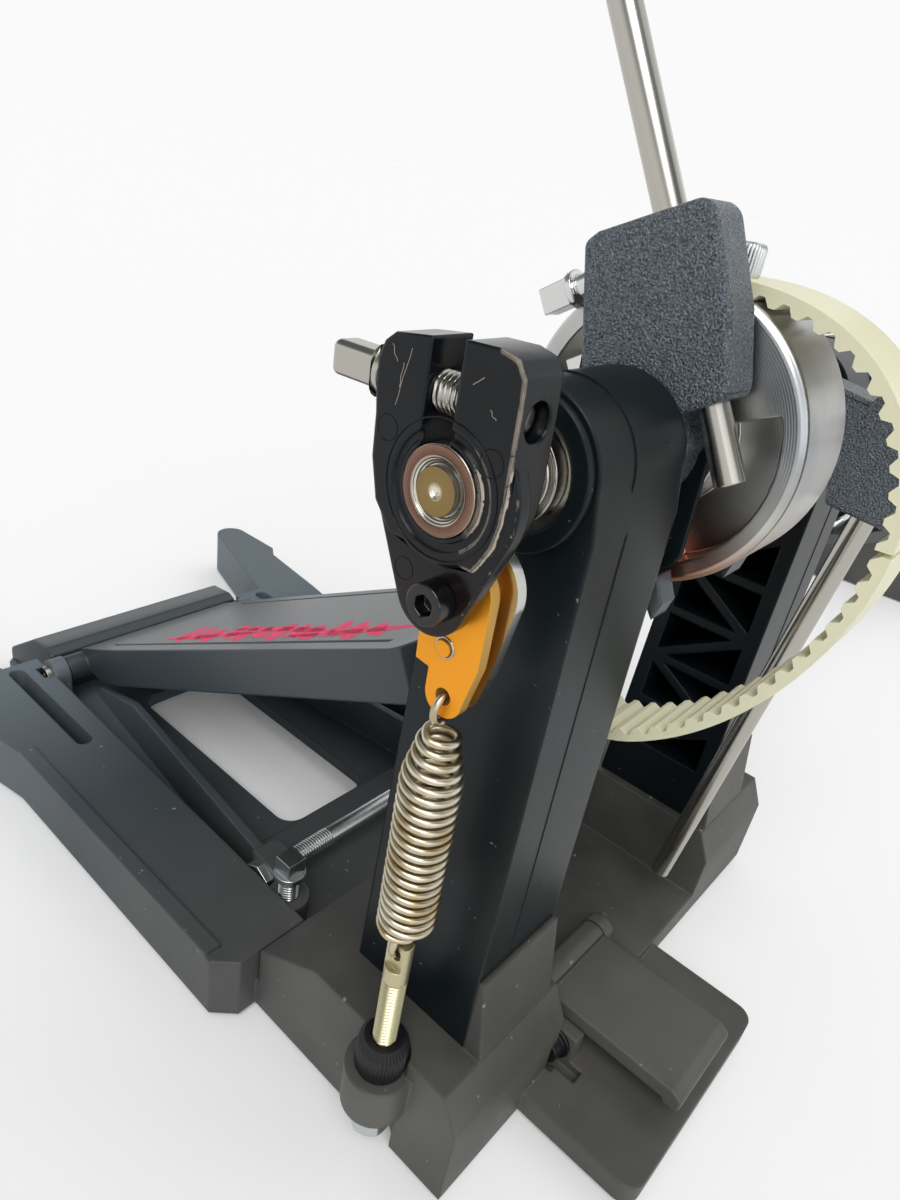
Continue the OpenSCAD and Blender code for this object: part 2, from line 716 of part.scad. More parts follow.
// Axles, and the ring and bush on the right end
axle_end = near_out + 22.6;
axle_in = -12;
module axle() {
    color(steel) difference() {
        bar_x(axle_in, axle_end, axle_r);
        translate([axle_end - 1.2, 0, axle_h]) rotate([0, 90, 0]) cylinder(h = 2, r1 = 0, r2 = 2);
    }
}
module ring_x(x0, x1, r, hole) {
    difference() {
        bar_x(x0, x1, r);
        bar_x(x0 - 1, x1 + 1, hole);
    }
}
module bearing_inner_ring() {
    color(steel) ring_x(near_out - bearing_w, near_out, inner_race_r, axle_r + seat);
}
bush_r = 7.3;
// The bush has a collar against the bearing and a countersunk face at its end
module bush() {
    difference() {
        union() {
            bar_x(near_out + 0.1, axle_end - 0.4, bush_r);
            bar_x(near_out + 0.1, near_out + 3.2, 9);
        }
        bar_x(near_out - 1, axle_end + 1, axle_r + seat);
        translate([axle_end - 1.6, 0, axle_h]) rotate([0, 90, 0]) cylinder(h = 1.3, r1 = 4.1, r2 = 5.6);
    }
}
module axle_bush() {
    color(steel) bush();
}

// Drive cams: a turned disc with a flat seat for the belt and windows in the near face
cam_x0 = belt_x - cam_w / 2;
cam_x1 = belt_x + cam_w / 2;
core_r = 12;
window_deep = 9;
window_in = 15.5;
window_out = 27;
module cam_disc() {
    difference() {
        translate([cam_x0, 0, axle_h]) rotate([90, 0, 90]) rotate_extrude($fn = 96)
            polygon([[core_r + seat, 0], [cam_r - 1, 0], [cam_r, 1], [cam_r, cam_w - 1.2],
                [cam_r - 1.2, cam_w], [core_r + seat, cam_w]]);
        box([cam_x0 - 1, -cam_r, axle_h + cam_flat], [cam_x1 + 1, cam_r, axle_h + cam_r + 1]);
        for (a = [-64, 118]) along_x(cam_x1 - window_deep, cam_x1 + 1)
            translate([0, axle_h]) polygon(concat(arc([0, 0], window_out, a, a + 88, 14),
                arc([0, 0], window_in, a + 88, a, 10)));
        translate([belt_x, belt_screw_y, axle_h + core_r + 2]) cylinder(h = 30, r = 3 + seat);
        // Notches for the belt's teeth along the seat
        for (y = [-8.5:tooth_pitch:9])
            box([cam_x0 - 1, y, axle_h + cam_flat - 0.6], [cam_x1 + 1, y + 2, axle_h + cam_flat + 1]);
    }
}
module core() {
    ring_x(cam_x0, cam_x1 + 1, core_r, axle_r + seat);
    difference() {
        along_x(cam_x1 + seat, cam_x1 + 1) web([0, axle_h], 14.5, [9, axle_h - 20], 6);
        bar_x(cam_x1 - 1, cam_x1 + 2, core_r);
    }
}
module clamp_screw() {
    translate([belt_x, belt_screw_y, 0]) {
        translate([0, 0, axle_h + core_r + 3]) cylinder(h = belt_z + belt_t / 2 - axle_h - core_r - 3, r = 3);
        translate([0, 0, belt_z + belt_t / 2]) difference() {
            cylinder(h = 6, r = 5);
            translate([0, 0, 2.5]) cylinder(h = 4, r = 2.9, $fn = 6);
        }
    }
}
module drive_cam() {
    color(polished) cam_disc();
}
module cam_core() {
    color(satin_black) core();
}
module belt_clamp() {
    color(zinc) clamp_screw();
}
module second_cam() {
    second() {
        color(polished) cam_disc();
        color(satin_black) core();
        color(zinc) clamp_screw();
    }
}

// Beater hubs: cast blocks clamped to a shaft, with a slanted top and a bore for the rod
hub_x0 = cam_x1 + 1.2;
hub_x1 = near_in - side_gap;
left_shaft_r = 6;
hub_outline = [[-11.5, 0], [-12, 13], [-17, 34], [-14.5, 36.2], [4, 44.3], [7, 43], [14.5, 28], [18.6, 15],
    [16, 6], [12, 0]];
hub_r = 12.6;
hub_w = hub_x1 - hub_x0;
bolt_s = [31.5, 16.5];
// Places a child at a distance along the rod from the point nearest to the axle
module on_rod(s = 0) {
    translate([hub_w / 2, 0, axle_h]) rotate([beater_lean, 0, 0]) translate([0, rod_offset, s]) children();
}
module hub_block(bore, fit) {
    difference() {
        along_x(0, hub_w) translate([0, axle_h]) {
            polygon(hub_outline);
            circle(r = hub_r);
        }
        bar_x(-1, hub_w + 1, bore);
        on_rod(-40) cylinder(h = 120, r = rod_d / 2 + fit);
        // The lower front is cut away square to the rod, which comes out there
        on_rod(-38) translate([-10, -5, 0]) cube([20, 20, 40]);
        // A bore and a flat spot for each key bolt
        for (s = bolt_s) on_rod(s) rotate([90, 0, 0]) {
            cylinder(h = 40, r = 2.5 + seat);
            translate([0, 0, hub_reach(s) - seat]) cylinder(h = 20, r = 4.2);
        }
    }
}
module key_bolts() {
    for (s = bolt_s) on_rod(s) rotate([90, 0, 0]) translate([0, 0, rod_d / 2 + 0.2])
        square_bolt(hub_reach(s) - rod_d / 2 - 0.2);
}
// Distance from the rod to the hub's player side, for a bolt at s along the rod
function hub_reach(s) = 18.5 + (s - bolt_s[1]) * 0.16;
module beater_hub() {
    color(satin_black) translate([hub_x0, 0, 0]) hub_block(axle_r + seat, run);
}
module hub_bolts() {
    color(steel) translate([hub_x0, 0, 0]) key_bolts();
}
// The left hub is an arm with its rod further in front, kept between the footboard and the post
left_hub_x = -56;
left_hub_w = 12;
module on_left_rod(s = 0) {
    translate([left_hub_x + left_hub_w / 2, 0, axle_h]) rotate([-left_lean, 0, 0])
        translate([0, left_offset, s]) children();
}
module left_hub_block() {
    difference() {
        union() {
            along_x(left_hub_x, left_hub_x + left_hub_w) web([0, axle_h], hub_r,
                [left_offset - 3, axle_h - 3], 10);
            on_left_rod() translate([-left_hub_w / 2, -9, -15]) cube([left_hub_w, 16, 30]);
        }
        bar_x(left_hub_x - 1, left_hub_x + left_hub_w + 1, left_shaft_r + run);
        on_left_rod(-30) cylinder(h = 60, r = rod_d / 2 + run);
        on_left_rod(8) rotate([-90, 0, 0]) cylinder(h = 20, r = 2.5 + seat);
        translate([left_hub_x + left_hub_w / 2, 0, axle_h + left_shaft_r + 0.1])
            cylinder(h = 20, r = 2.5 + seat);
    }
}
module square_bolt(reach) {
    cylinder(h = reach, r = 2.5);
    translate([0, 0, reach]) cylinder(h = 1.5, r = 3.8);
    translate([-2.6, -2.6, reach]) cube([5.2, 5.2, 8]);
}
module left_hub() {
    color(satin_black) left_hub_block();
}
module left_hub_bolts() {
    color(steel) {
        on_left_rod(8) rotate([-90, 0, 0]) translate([0, 0, rod_d / 2 + 0.2]) square_bolt(4);
        translate([left_hub_x + left_hub_w / 2, 0, axle_h + left_shaft_r + 0.2]) square_bolt(7);
    }
}

// Beaters: the right one raised, the left one drawn down through its hub
rod_low = -13;
left_rod_low = -0.68 * rod_l;
head_s = 14;
module rod() {
    cylinder(h = rod_l, r = rod_d / 2);
}
module head() {
    translate([0, 0, rod_l - head_s]) rotate([-90, 0, 0]) difference() {
        translate([0, 0, -head_l / 2]) rotate_extrude($fn = 64) polygon(concat([[0, 0]],
            arc([head_d / 2 - 5, 5], 5, -90, 0, 5), arc([head_d / 2 - 5, head_l - 5], 5, 0, 90, 5),
            [[0, head_l]]));
        rotate([90, 0, 0]) cylinder(h = head_d + 2, r = rod_d / 2 + seat, center = true);
    }
}
module beater_rod() {
    color(steel) translate([hub_x0, 0, 0]) on_rod(rod_low) rod();
}
module beater_head() {
    color(felt) translate([hub_x0, 0, 0]) on_rod(rod_low) head();
}
module left_beater_rod() {
    color(steel) on_left_rod(left_rod_low) rod();
}
module left_beater_head() {
    color(felt) on_left_rod(left_rod_low) head();
}

// Rockers: split clamps outside the post that pull the springs
rocker_x1 = axle_end - 0.8;
rocker_x0 = rocker_x1 - 9.4;
lobe_x0 = rocker_x1 - 3.8;
lobe_x1 = rocker_x1 - 0.8;
boss_r = 11.9;
pivot = [2.8, axle_h - pivot_drop];
pivot_r = 2.2;
lobe_r = 7.4;
split = [-5.2, 0.6];
split_bolt = [(rocker_x0 + rocker_x1) / 2, axle_h + 13.5];
rocker_outline = [[-9.1, -10.4], [-13, -5.9], [-14.8, 1], [-15, 8], [-15.6, 12.5], [-15.6, 16.5],
    [-14.6, 19.2], [-12.6, 20.8], [-5.9, 21.7], [1.3, 22.6], [7, 22.8], [10.2, 22], [11.8, 19.8],
    [12.1, 14], [12.4, 3], [12.3, -1], [11.6, -5], [9.8, -8.6], [8.6, -10.4]];
module rocker_body() {
    difference() {
        union() {
            along_x(rocker_x0, rocker_x1) translate([0, axle_h]) difference() {
                polygon(rocker_outline);
                translate([-16, -12]) square([3, 3]);
            }
            // The boss round the bush stands a little proud of the lobe below it
            bar_x(rocker_x0, rocker_x1, boss_r);
            along_x(lobe_x0, lobe_x1) web([0, axle_h], 14.5, [0.6, pivot[1]], lobe_r);
        }
        bar_x(rocker_x0 - 1, rocker_x1 + 1, bush_r + seat);
        // A shallow recess round the end of the bush
        difference() {
            bar_x(rocker_x1 - 0.7, rocker_x1 + 1, 9.6);
            bar_x(rocker_x1 - 1, rocker_x1 + 2, 8.3);
        }
        box([rocker_x0 - 1, split[0], axle_h], [rocker_x1 + 1, split[1], axle_h + 40]);
        translate([split_bolt[0], -40, split_bolt[1]]) rotate([-90, 0, 0]) cylinder(h = 70, r = 3 + seat);
        bar_x(rocker_x0 - 1, rocker_x1 + 1, pivot_r + seat, pivot[0], pivot[1]);
        // Behind the lobe the body is cut back round the hanger, down to a thin ring
        along_x(rocker_x0 - 1, lobe_x0) difference() {
            translate([pivot[0], pivot[1] - 4]) circle(r = 12.6);
            translate([0, axle_h]) circle(r = 8.6);
        }
    }
}
module split_bolt_body() {
    translate([split_bolt[0], 0, split_bolt[1]]) rotate([-90, 0, 0]) {
        translate([0, 0, -16]) cylinder(h = 26, r = 3);
        translate([0, 0, -17.6]) cylinder(h = 1.6, r = 4.2);
        translate([-2.9, -2.9, -28.2]) cube([5.8, 5.8, 10.6]);
    }
}
module pivot_screw() {
    bar_x(back_x0 - 1.2, lobe_x1, pivot_r, pivot[0], pivot[1]);
    difference() {
        bar_x(lobe_x1, lobe_x1 + 4, 3.7, pivot[0], pivot[1]);
        hex_x(lobe_x1 + 1.5, lobe_x1 + 5, 3.4, pivot[0], pivot[1]);
    }
}
module rocker() {
    color(satin_black) rocker_body();
}
module rocker_bolt() {
    color(steel) split_bolt_body();
}
module hanger_screw() {
    color(satin_black) pivot_screw();
}
module second_rocker() {
    second() {
        color(satin_black) rocker_body();
        color(steel) split_bolt_body();
        color(satin_black) pivot_screw();
        color(steel) bush();
        color(steel) ring_x(near_out - bearing_w, near_out, inner_race_r, axle_r + seat);
    }
}

// Hangers: an anodised front plate and a steel back disc, riveted, with the spring hole below
spring_x = near_out + spring_out;
front_x0 = spring_x - 1.2;
front_x1 = spring_x + 1.2;
back_x1 = rocker_x0 - 0.4;
back_x0 = back_x1 - 2.4;
hole = [pivot[0] + 0.8, pivot[1] - hanger_l];
spring_z1 = hole[1] - spring_hang;
rivet = [pivot[0] - 0.6, pivot[1] - 11.2];
module front_plate() {
    difference() {
        union() {
            along_x(front_x0, front_x1) {
                translate(pivot) circle(r = 7);
                translate(hole) circle(r = 4.2);
                polygon([pivot + [-7, 0], [pivot[0] - 6.8, rivet[1] + 1], [pivot[0] - 6.6, hole[1] + 4.6],
                    [hole[0] - 4.2, hole[1] + 4.2], [hole[0] - 4.2, hole[1]], [hole[0] + 4.2, hole[1]],
                    [pivot[0] + 7, rivet[1] - 1], pivot + [7, 0]]);
            }
            // The rivet through both plates and the spacer on the screw
            bar_x(back_x0 + 0.01, front_x1 + 0.7, 1.6, rivet[0], rivet[1]);
            bar_x(back_x1, front_x0 + 0.1, 4.6, pivot[0], pivot[1]);
        }
        bar_x(back_x0 - 1, front_x1 + 1, pivot_r + run, pivot[0], pivot[1]);
        bar_x(front_x0 - 1, front_x1 + 1, 1.7, hole[0], hole[1]);
    }
}
module back_disc() {
    difference() {
        along_x(back_x0, back_x1) {
            web(pivot, 9.2, rivet + [3.2, -3.4], 4.2);
            // The disc's tail reaches down behind the spring hole
            web(rivet + [3.2, -3.4], 4.2, hole + [1.2, 0.6], 3.4);
        }
        bar_x(back_x0 - 1, back_x1 + 1, pivot_r + run, pivot[0], pivot[1]);
        bar_x(back_x0 - 1, back_x1 + 1, 1.6 + seat, rivet[0], rivet[1]);
    }
}
module hanger_plate() {
    color(anodised) front_plate();
}
module hanger_disc() {
    color(steel) back_disc();
}
module second_hanger() {
    second() {
        color(anodised) front_plate();
        color(steel) back_disc();
    }
}

// Springs: one wire with a loop at each end, swept with a frame carried along it
wire_sides = 6;
curl_steps = 8;
loop_r = 3;
eye_z = spring_z0 - 9.4;
spring_y = hole[0];
coil_r = (spring_d - wire_d) / 2;
coil_top_r = (spring_top_d - wire_d) / 2;
taper_curls = 5;
turn_in = 180;
function coil_at(a) = let (k = a / 360, f = k / spring_curls, r = k < taper_curls
    ? coil_top_r + (coil_r - coil_top_r) * (1 - cos(180 * k / taper_curls)) / 2 : coil_r)
    [r * cos(a), r * sin(a), spring_z1 + (spring_z0 - spring_z1) * f];
coil_turn = 360 * spring_curls;
top_loop_z = hole[1] - loop_r;
low_loop_z = eye_z + loop_r;
// From the loop above, out to the first curl; down the curls; and in to the loop below
spring_path = concat(
    [for (a = [120:-30:-90]) [loop_r * cos(a), 0, top_loop_z + loop_r * sin(a)]],
    [for (i = [1:3]) let (f = i / 4, a = -turn_in * (1 - f))
        [f * coil_top_r * cos(a), f * coil_top_r * sin(a),
        (top_loop_z - loop_r) * (1 - f) + spring_z1 * f]],
    [for (i = [0:curl_steps * spring_curls]) coil_at(i * 360 / curl_steps)],
    [for (i = [1:3]) let (f = 1 - i / 4, a = coil_turn + turn_in * (1 - f))
        [f * coil_r * cos(a), f * coil_r * sin(a), spring_z0 * f + (low_loop_z + loop_r) * (1 - f)]],
    [for (a = [90:30:300]) [-loop_r * cos(a), 0, low_loop_z + loop_r * sin(a)]]);
function path_dir(p, i) = unit(p[min(i + 1, len(p) - 1)] - p[max(i - 1, 0)]);
function square_to(n, t) = unit(n - (n * t) * t);
function normals(p) = [for (i = 0, n = square_to([0, 1, 0.01], path_dir(p, 0)); i < len(p);
    i = i + 1, n = i < len(p) ? square_to(n, path_dir(p, i)) : n) n];
module wire(p, r) {
    ns = normals(p);
    m = wire_sides;
    points = [for (i = [0:len(p) - 1], j = [0:m - 1]) let (t = path_dir(p, i), n = ns[i], b = cross(t, n))
        p[i] + r * (cos(360 * j / m) * n + sin(360 * j / m) * b)];
    walls = [for (i = [0:len(p) - 2], j = [0:m - 1], s = [0, 1]) let (a = i * m + j, b = i * m + (j + 1) % m)
        s == 0 ? [a, a + m, b] : [b, a + m, b + m]];
    last = (len(p) - 1) * m;
    caps = concat([for (j = [1:m - 2]) [0, j, j + 1]], [for (j = [1:m - 2]) [last, last + j + 1, last + j]]);
    polyhedron(points = points, faces = concat(walls, caps));
}
// Least gap of the wire to itself, measured between points at least half a curl apart
self_gap = min([for (i = [0:len(spring_path) - 5], j = [i + 5:min(i + 24, len(spring_path) - 1)])
    norm(spring_path[i] - spring_path[j]) - wire_d]);
echo(spring_self_gap = self_gap);
module spring() {
    translate([spring_x, spring_y, 0]) wire(spring_path, wire_d / 2);
}
module return_spring() {
    color(steel) spring();
}
module second_spring() {
    color(steel) second() spring();
}

// Tension rods with a flat eye, the thumb nuts above the ears and the lock nuts below
rod_top = eye_z + 3.4;
thumb_h = 11;
nut_h = 12;
module tension_rod() {
    difference() {
        translate([ear_x, ear_y, ear_z0 - nut_h + 1]) cylinder(h = rod_top - ear_z0 + nut_h - 1, r = tension_d / 2);
        for (s = [-1, 1]) translate([ear_x + s * 3.6 - 2, ear_y - 5, eye_z - 4]) cube([4, 10, 20]);
        for (z = [0, 0.7]) bar_x(ear_x - 5, ear_x + 5, 1.5, ear_y, eye_z + z);
    }
}
module tension_rods() {
    color(steel) {
        tension_rod();
        second() tension_rod();
    }
}
module thumb() {
    difference() {
        union() {
            translate([ear_x, ear_y, ear_z1 + 0.1]) cylinder(h = thumb_h - 2, r = thumb_r);
            translate([ear_x, ear_y, ear_z1 + thumb_h - 2]) cylinder(h = 2, r1 = thumb_r, r2 = thumb_r - 1.6);
        }
        translate([ear_x, ear_y, ear_z1 - 1]) cylinder(h = thumb_h + 3, r = tension_d / 2 + run);
    }
}
module thumb_nut() {
    color(satin_black) thumb();
}
module second_thumb_nut() {
    color(satin_black) second() thumb();
}
module lock_nut() {
    translate([ear_x, ear_y, ear_z0 - nut_h]) difference() {
        intersection() {
            cylinder(h = nut_h, r = nut_flats / sqrt(3), $fn = 6);
            rotate_extrude() polygon([[0, 0], [3.6, 0], [5.9, 3], [5.9, nut_h], [0, nut_h]]);
        }
        translate([0, 0, 1]) cylinder(h = nut_h, r = tension_d / 2 + seat);
    }
}
module lock_nuts() {
    color(zinc) {
        lock_nut();
        second() lock_nut();
    }
}

// Cross rods and the spur screws of both pedals
module cross_rod() {
    bar_x(-49, 49, 3, rod_y, rod_z);
    both_sides() hex_x(49, 52, 10, rod_y, rod_z);
}
module cross_rods() {
    color(zinc) {
        cross_rod();
        second() cross_rod();
    }
}
module spur(x) {
    translate([x, spur_y, 0]) {
        translate([0, 0, 0.6]) cylinder(h = 5, r1 = 0.6, r2 = spur_r);
        translate([0, 0, 5.6]) cylinder(h = 26, r = spur_r);
        translate([-3.2, -3.2, 31.6]) cube([6.4, 6.4, 6]);
        translate([0, 0, 30]) cylinder(h = 2, r = 4.8);
    }
}
module spur_near() {
    color(zinc) spur(spur_x);
}
module spur_far() {
    color(zinc) spur(-far_spur_x(far_in));
}

// The hoop clamp: a hinged jaw over the lip, closed by a flanged bolt on its side
module hoop_jaw() {
    color(cast_black) difference() {
        along_x(-jaw_half, jaw_half) union() {
            translate([jaw_pin_y, jaw_pin_z]) circle(r = 4.4);
            polygon([[jaw_pin_y, jaw_z], [lip_y - 7, jaw_z], [lip_y - 7, jaw_z - 1.5], [lip_y - 3, jaw_z - 1.5],
                [lip_y - 2, jaw_z], [lip_y - 2, jaw_z + jaw_t - 2], [lip_y - 5, jaw_z + jaw_t],
                [jaw_pin_y, jaw_z + jaw_t]]);
        }
        bar_x(-jaw_half - 1, jaw_half + 1, jaw_pin_r + run, jaw_pin_y, jaw_pin_z);
    }
}
module hoop_bolt() {
    color(satin_black) {
        bar_x(-8, jaw_half + 4.8, bolt_r, bolt_y, bolt_z);
        bar_x(jaw_half + 4.8, jaw_half + 6, bolt_head_r, bolt_y, bolt_z);
        difference() {
            bar_x(jaw_half + 6, jaw_half + 10, bolt_head_r - 1.4, bolt_y, bolt_z);
            hex_x(jaw_half + 7.5, jaw_half + 11, 4, bolt_y, bolt_z);
        }
    }
}

// The left shaft turns in the left post, in line with the axle, and drives the left hub
module left_shaft() {
    color(steel) {
        bar_x(-far_out - 16, left_hub_x + left_hub_w + 4, left_shaft_r);
        bar_x(-far_out, -far_out + bearing_w, inner_race_r);
    }
}
// Universal joints: two forked yokes at right angles with a cross between their ears
yoke_r = 8;
yoke_gap = 3;
yoke_l = 15;
ear_in = 6.4;
ear_out = 9.6;
ear_half = 5.6;
cross_l = yoke_gap + yoke_l + 9;
module yoke(shaft_r) {
    difference() {
        union() {
            bar_x(-cross_l + 9, -yoke_gap, yoke_r);
            for (s = [-1, 1]) intersection() {
                along_x(-cross_l - 6, -cross_l + 10) translate([-ear_half, axle_h + (s > 0 ? ear_in : -ear_out)])
                    square([2 * ear_half, ear_out - ear_in]);
                translate([0, 0, axle_h - 20]) linear_extrude(40) {
                    translate([-cross_l, 0]) circle(r = ear_half);
                    translate([-cross_l, -ear_half]) square([12, 2 * ear_half]);
                }
            }
        }
        bar_x(-cross_l + 8, -yoke_gap + 1, shaft_r + seat);
        translate([-cross_l, 0, axle_h]) cylinder(h = 40, r = 2.5 + seat, center = true);
    }
}
module cross_piece() {
    translate([-cross_l, 0, axle_h]) {
        cube([9, 9, 9], center = true);
        cylinder(h = 2 * ear_out, r = 2.5, center = true);
        rotate([90, 0, 0]) cylinder(h = 2 * ear_out, r = 2.5, center = true);
    }
}
// A joint hangs outside a post: one yoke on the shaft, the other, turned, on the drive shaft
module joint_pair(shaft_r) {
    yoke(shaft_r);
    translate([-2 * cross_l, 0, 0]) mirror([1, 0, 0]) turn_x(90) yoke(tube_in_r);
}
tube_r = 7;
tube_in_r = 5;
second_yoke_x = near_out - pedal_gap;
bar_end = second_yoke_x + 2 * cross_l - yoke_gap;
tube_l = 170;
bar_flats = 8.6;
module at_left_joint() {
    translate([-far_out, 0, 0]) children();
}
module at_second_joint() {
    translate([second_yoke_x, 0, 0]) mirror([1, 0, 0]) children();
}
module joint_yokes() {
    color(cast_black) {
        at_left_joint() joint_pair(left_shaft_r);
        at_second_joint() joint_pair(axle_r);
    }
}
module joint_crosses() {
    color(steel) {
        at_left_joint() cross_piece();
        at_second_joint() cross_piece();
    }
}
module drive_tube() {
    tube_end = -far_out - 2 * cross_l + yoke_gap;
    color(steel) difference() {
        union() {
            bar_x(tube_end - tube_l, tube_end, tube_r);
            bar_x(tube_end - tube_l - 2, tube_end - tube_l + 14, tube_r + 4);
            bar_x(tube_end - 1, tube_end + yoke_l - 1, tube_in_r);
        }
        bar_x(tube_end - tube_l - 3, tube_end - 20, tube_in_r + run);
    }
}
module drive_bar() {
    color(zinc) {
        hex_x(bar_end - 2, -far_out - 2 * cross_l - tube_l + 40, bar_flats);
        bar_x(bar_end - 16, bar_end - 1, tube_in_r);
    }
}
module second_axle() {
    color(steel) second() {
        bar_x(-near_out - yoke_gap - yoke_l + 1, axle_end, axle_r);
        far_side(near_in) ring_x(near_out - bearing_w, near_out, inner_race_r, axle_r + seat);
    }
}

base_frame();
heel_plate();
near_post();
far_post();
post_screws();
floor_pads();
hinge_pins();
bearing_outer_rings();
bearing_covers();
tension_rods();
lock_nuts();
cross_rods();
second_base_frame();
second_heel_plate();
second_posts();
footboard();
toe_clamp();
belt_lower();
axle();
bearing_inner_ring();
axle_bush();
drive_cam();
cam_core();
belt_clamp();
belt_upper();
beater_hub();
hub_bolts();
rocker();
rocker_bolt();
hanger_screw();
beater_rod();
beater_head();
hanger_plate();
hanger_disc();
return_spring();
thumb_nut();
hoop_jaw();
hoop_bolt();
spur_near();
spur_far();
left_shaft();
left_hub();
left_hub_bolts();
left_beater_rod();
left_beater_head();
joint_yokes();
joint_crosses();
drive_tube();
drive_bar();
second_axle();
second_cam();
second_belt_upper();
second_rocker();
second_hanger();
second_spring();
second_thumb_nut();
second_footboard();
second_belt_lower();
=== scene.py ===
"""Double bass drum pedal: the visible finish of the CAD model, section by section.

Lengths are in millimetres where a name ends in _mm, and in metres elsewhere.
+X is the player's right, +Y points at the drum, and the floor is z = 0.
"""

import bmesh
import bpy
import numpy as np
from mathutils import Matrix


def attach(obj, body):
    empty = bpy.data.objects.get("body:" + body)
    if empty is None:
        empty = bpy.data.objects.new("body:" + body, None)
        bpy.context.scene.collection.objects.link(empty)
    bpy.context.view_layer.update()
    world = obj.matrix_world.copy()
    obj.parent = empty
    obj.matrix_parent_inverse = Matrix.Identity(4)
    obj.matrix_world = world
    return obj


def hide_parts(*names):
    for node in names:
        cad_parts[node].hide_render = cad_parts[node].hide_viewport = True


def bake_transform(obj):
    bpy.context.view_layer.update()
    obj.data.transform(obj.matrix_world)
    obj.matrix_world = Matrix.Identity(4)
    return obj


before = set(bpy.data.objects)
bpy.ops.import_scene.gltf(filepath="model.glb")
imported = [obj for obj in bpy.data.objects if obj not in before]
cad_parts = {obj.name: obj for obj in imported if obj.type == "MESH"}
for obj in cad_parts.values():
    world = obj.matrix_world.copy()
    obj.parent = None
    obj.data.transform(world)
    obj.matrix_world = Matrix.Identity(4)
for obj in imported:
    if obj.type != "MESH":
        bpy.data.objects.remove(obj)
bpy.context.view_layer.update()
scene = bpy.context.scene
scene.view_settings.view_transform = "Standard"


# Studio
# A seamless white floor and backdrop, soft light from a high window on the right, and two
# weak fills from the left and from the drum's side. The floor stays pale and holds a soft
# shadow.

def linear(code):
    """A hex colour such as #1a2b3c as linear red, green, blue and 1."""
    part = np.array([int(code[i:i + 2], 16) for i in (1, 3, 5)]) / 255
    return (*np.where(part <= 0.04045, part / 12.92, ((part + 0.055) / 1.055) ** 2.4), 1.0)


def add(tree, kind, links=(), **settings):
    """Adds one node. Links are (input name or number, output socket) pairs.

    A setting in_NAME or in_NUMBER is an input's value. Inputs 6 and 7 of a colour mix are its
    two colours.
    """
    node = tree.nodes.new(kind)
    for name, value in settings.items():
        if name.startswith("in_"):
            slot = name[3:]
            node.inputs[int(slot) if slot.isdigit() else slot.replace("_", " ")].default_value = value
        else:
            setattr(node, name, value)
    for place, source in links:
        tree.links.new(source, node.inputs[place])
    return node


def sun(name, strength, angle_deg, aim, colour):
    """A soft far light that shines along aim."""
    lamp = bpy.data.lights.new(name, "SUN")
    lamp.energy = strength
    lamp.angle = np.radians(angle_deg)
    lamp.color = linear(colour)[:3]
    lit = bpy.data.objects.new(name, lamp)
    way = np.array(aim, float) / np.linalg.norm(aim)
    side = np.cross((0, 0, 1), -way)
    side /= np.linalg.norm(side)
    lit.matrix_world = Matrix(np.column_stack([side, np.cross(-way, side), -way]).tolist()).to_4x4()
    scene.collection.objects.link(lit)


sun("window", 1.5, 38, (-0.62, -0.38, -1.0), "#ffffff")
sun("fill", 0.55, 60, (0.7, -0.2, -0.75), "#ffffff")
sun("front", 0.5, 50, (-0.5, -0.9, -0.35), "#ffffff")

world = bpy.data.worlds.new("studio")
scene.world = world
world.use_nodes = True
sky = world.node_tree
sky.nodes.clear()
ray = add(sky, "ShaderNodeLightPath")
seen = add(sky, "ShaderNodeMath",
           [(0, ray.outputs["Is Camera Ray"]), (1, ray.outputs["Is Transmission Ray"])],
           operation="MAXIMUM")
soft = add(sky, "ShaderNodeBackground", in_Color=linear("#ffffff"), in_Strength=0.42)
white = add(sky, "ShaderNodeBackground", in_Color=linear("#fafafa"), in_Strength=1.0)
# Gloss sees the same white sweep round the horizon, a grey ceiling above it and a white window
toward = add(sky, "ShaderNodeTexCoord").outputs["Generated"]
height = add(sky, "ShaderNodeSeparateXYZ", [(0, toward)])
wall = add(sky, "ShaderNodeValToRGB", [(0, height.outputs["Z"])])
for position, shade in ((0.3, "#fafafa"), (0.44, "#82898e"), (0.7, "#565d62"), (0.95, "#b4babd")):
    knot = wall.color_ramp.elements.new(position)
    knot.color = linear(shade)
wall.color_ramp.elements.remove(wall.color_ramp.elements[0])
wall.color_ramp.elements.remove(wall.color_ramp.elements[-1])
facing = add(sky, "ShaderNodeVectorMath", [(0, toward)], operation="DOT_PRODUCT")
facing.inputs[1].default_value = (0.53, 0.33, 0.78)
window = add(sky, "ShaderNodeMapRange", [("Value", facing.outputs["Value"])])
window.inputs["From Min"].default_value = 0.9
window.inputs["From Max"].default_value = 0.93
room = add(sky, "ShaderNodeMix", [(0, window.outputs[0]), (6, wall.outputs[0])], data_type="RGBA",
           clamp_factor=True, in_7=linear("#ffffff"))
mirrored = add(sky, "ShaderNodeBackground", [(0, room.outputs[2])], in_Strength=1.0)
dull = add(sky, "ShaderNodeMixShader", [(0, ray.outputs["Is Glossy Ray"]), (1, soft.outputs[0]),
                                        (2, mirrored.outputs[0])])
mixed = add(sky, "ShaderNodeMixShader", [(0, seen.outputs[0]), (1, dull.outputs[0]), (2, white.outputs[0])])
add(sky, "ShaderNodeOutputWorld", [(0, mixed.outputs[0])])

floor_mesh = bpy.data.meshes.new("floor")
floor_mesh.from_pydata([(-30, -30, 0), (30, -30, 0), (30, 30, 0), (-30, 30, 0)], [], [(0, 1, 2, 3)])
floor = bpy.data.objects.new("floor", floor_mesh)
scene.collection.objects.link(floor)
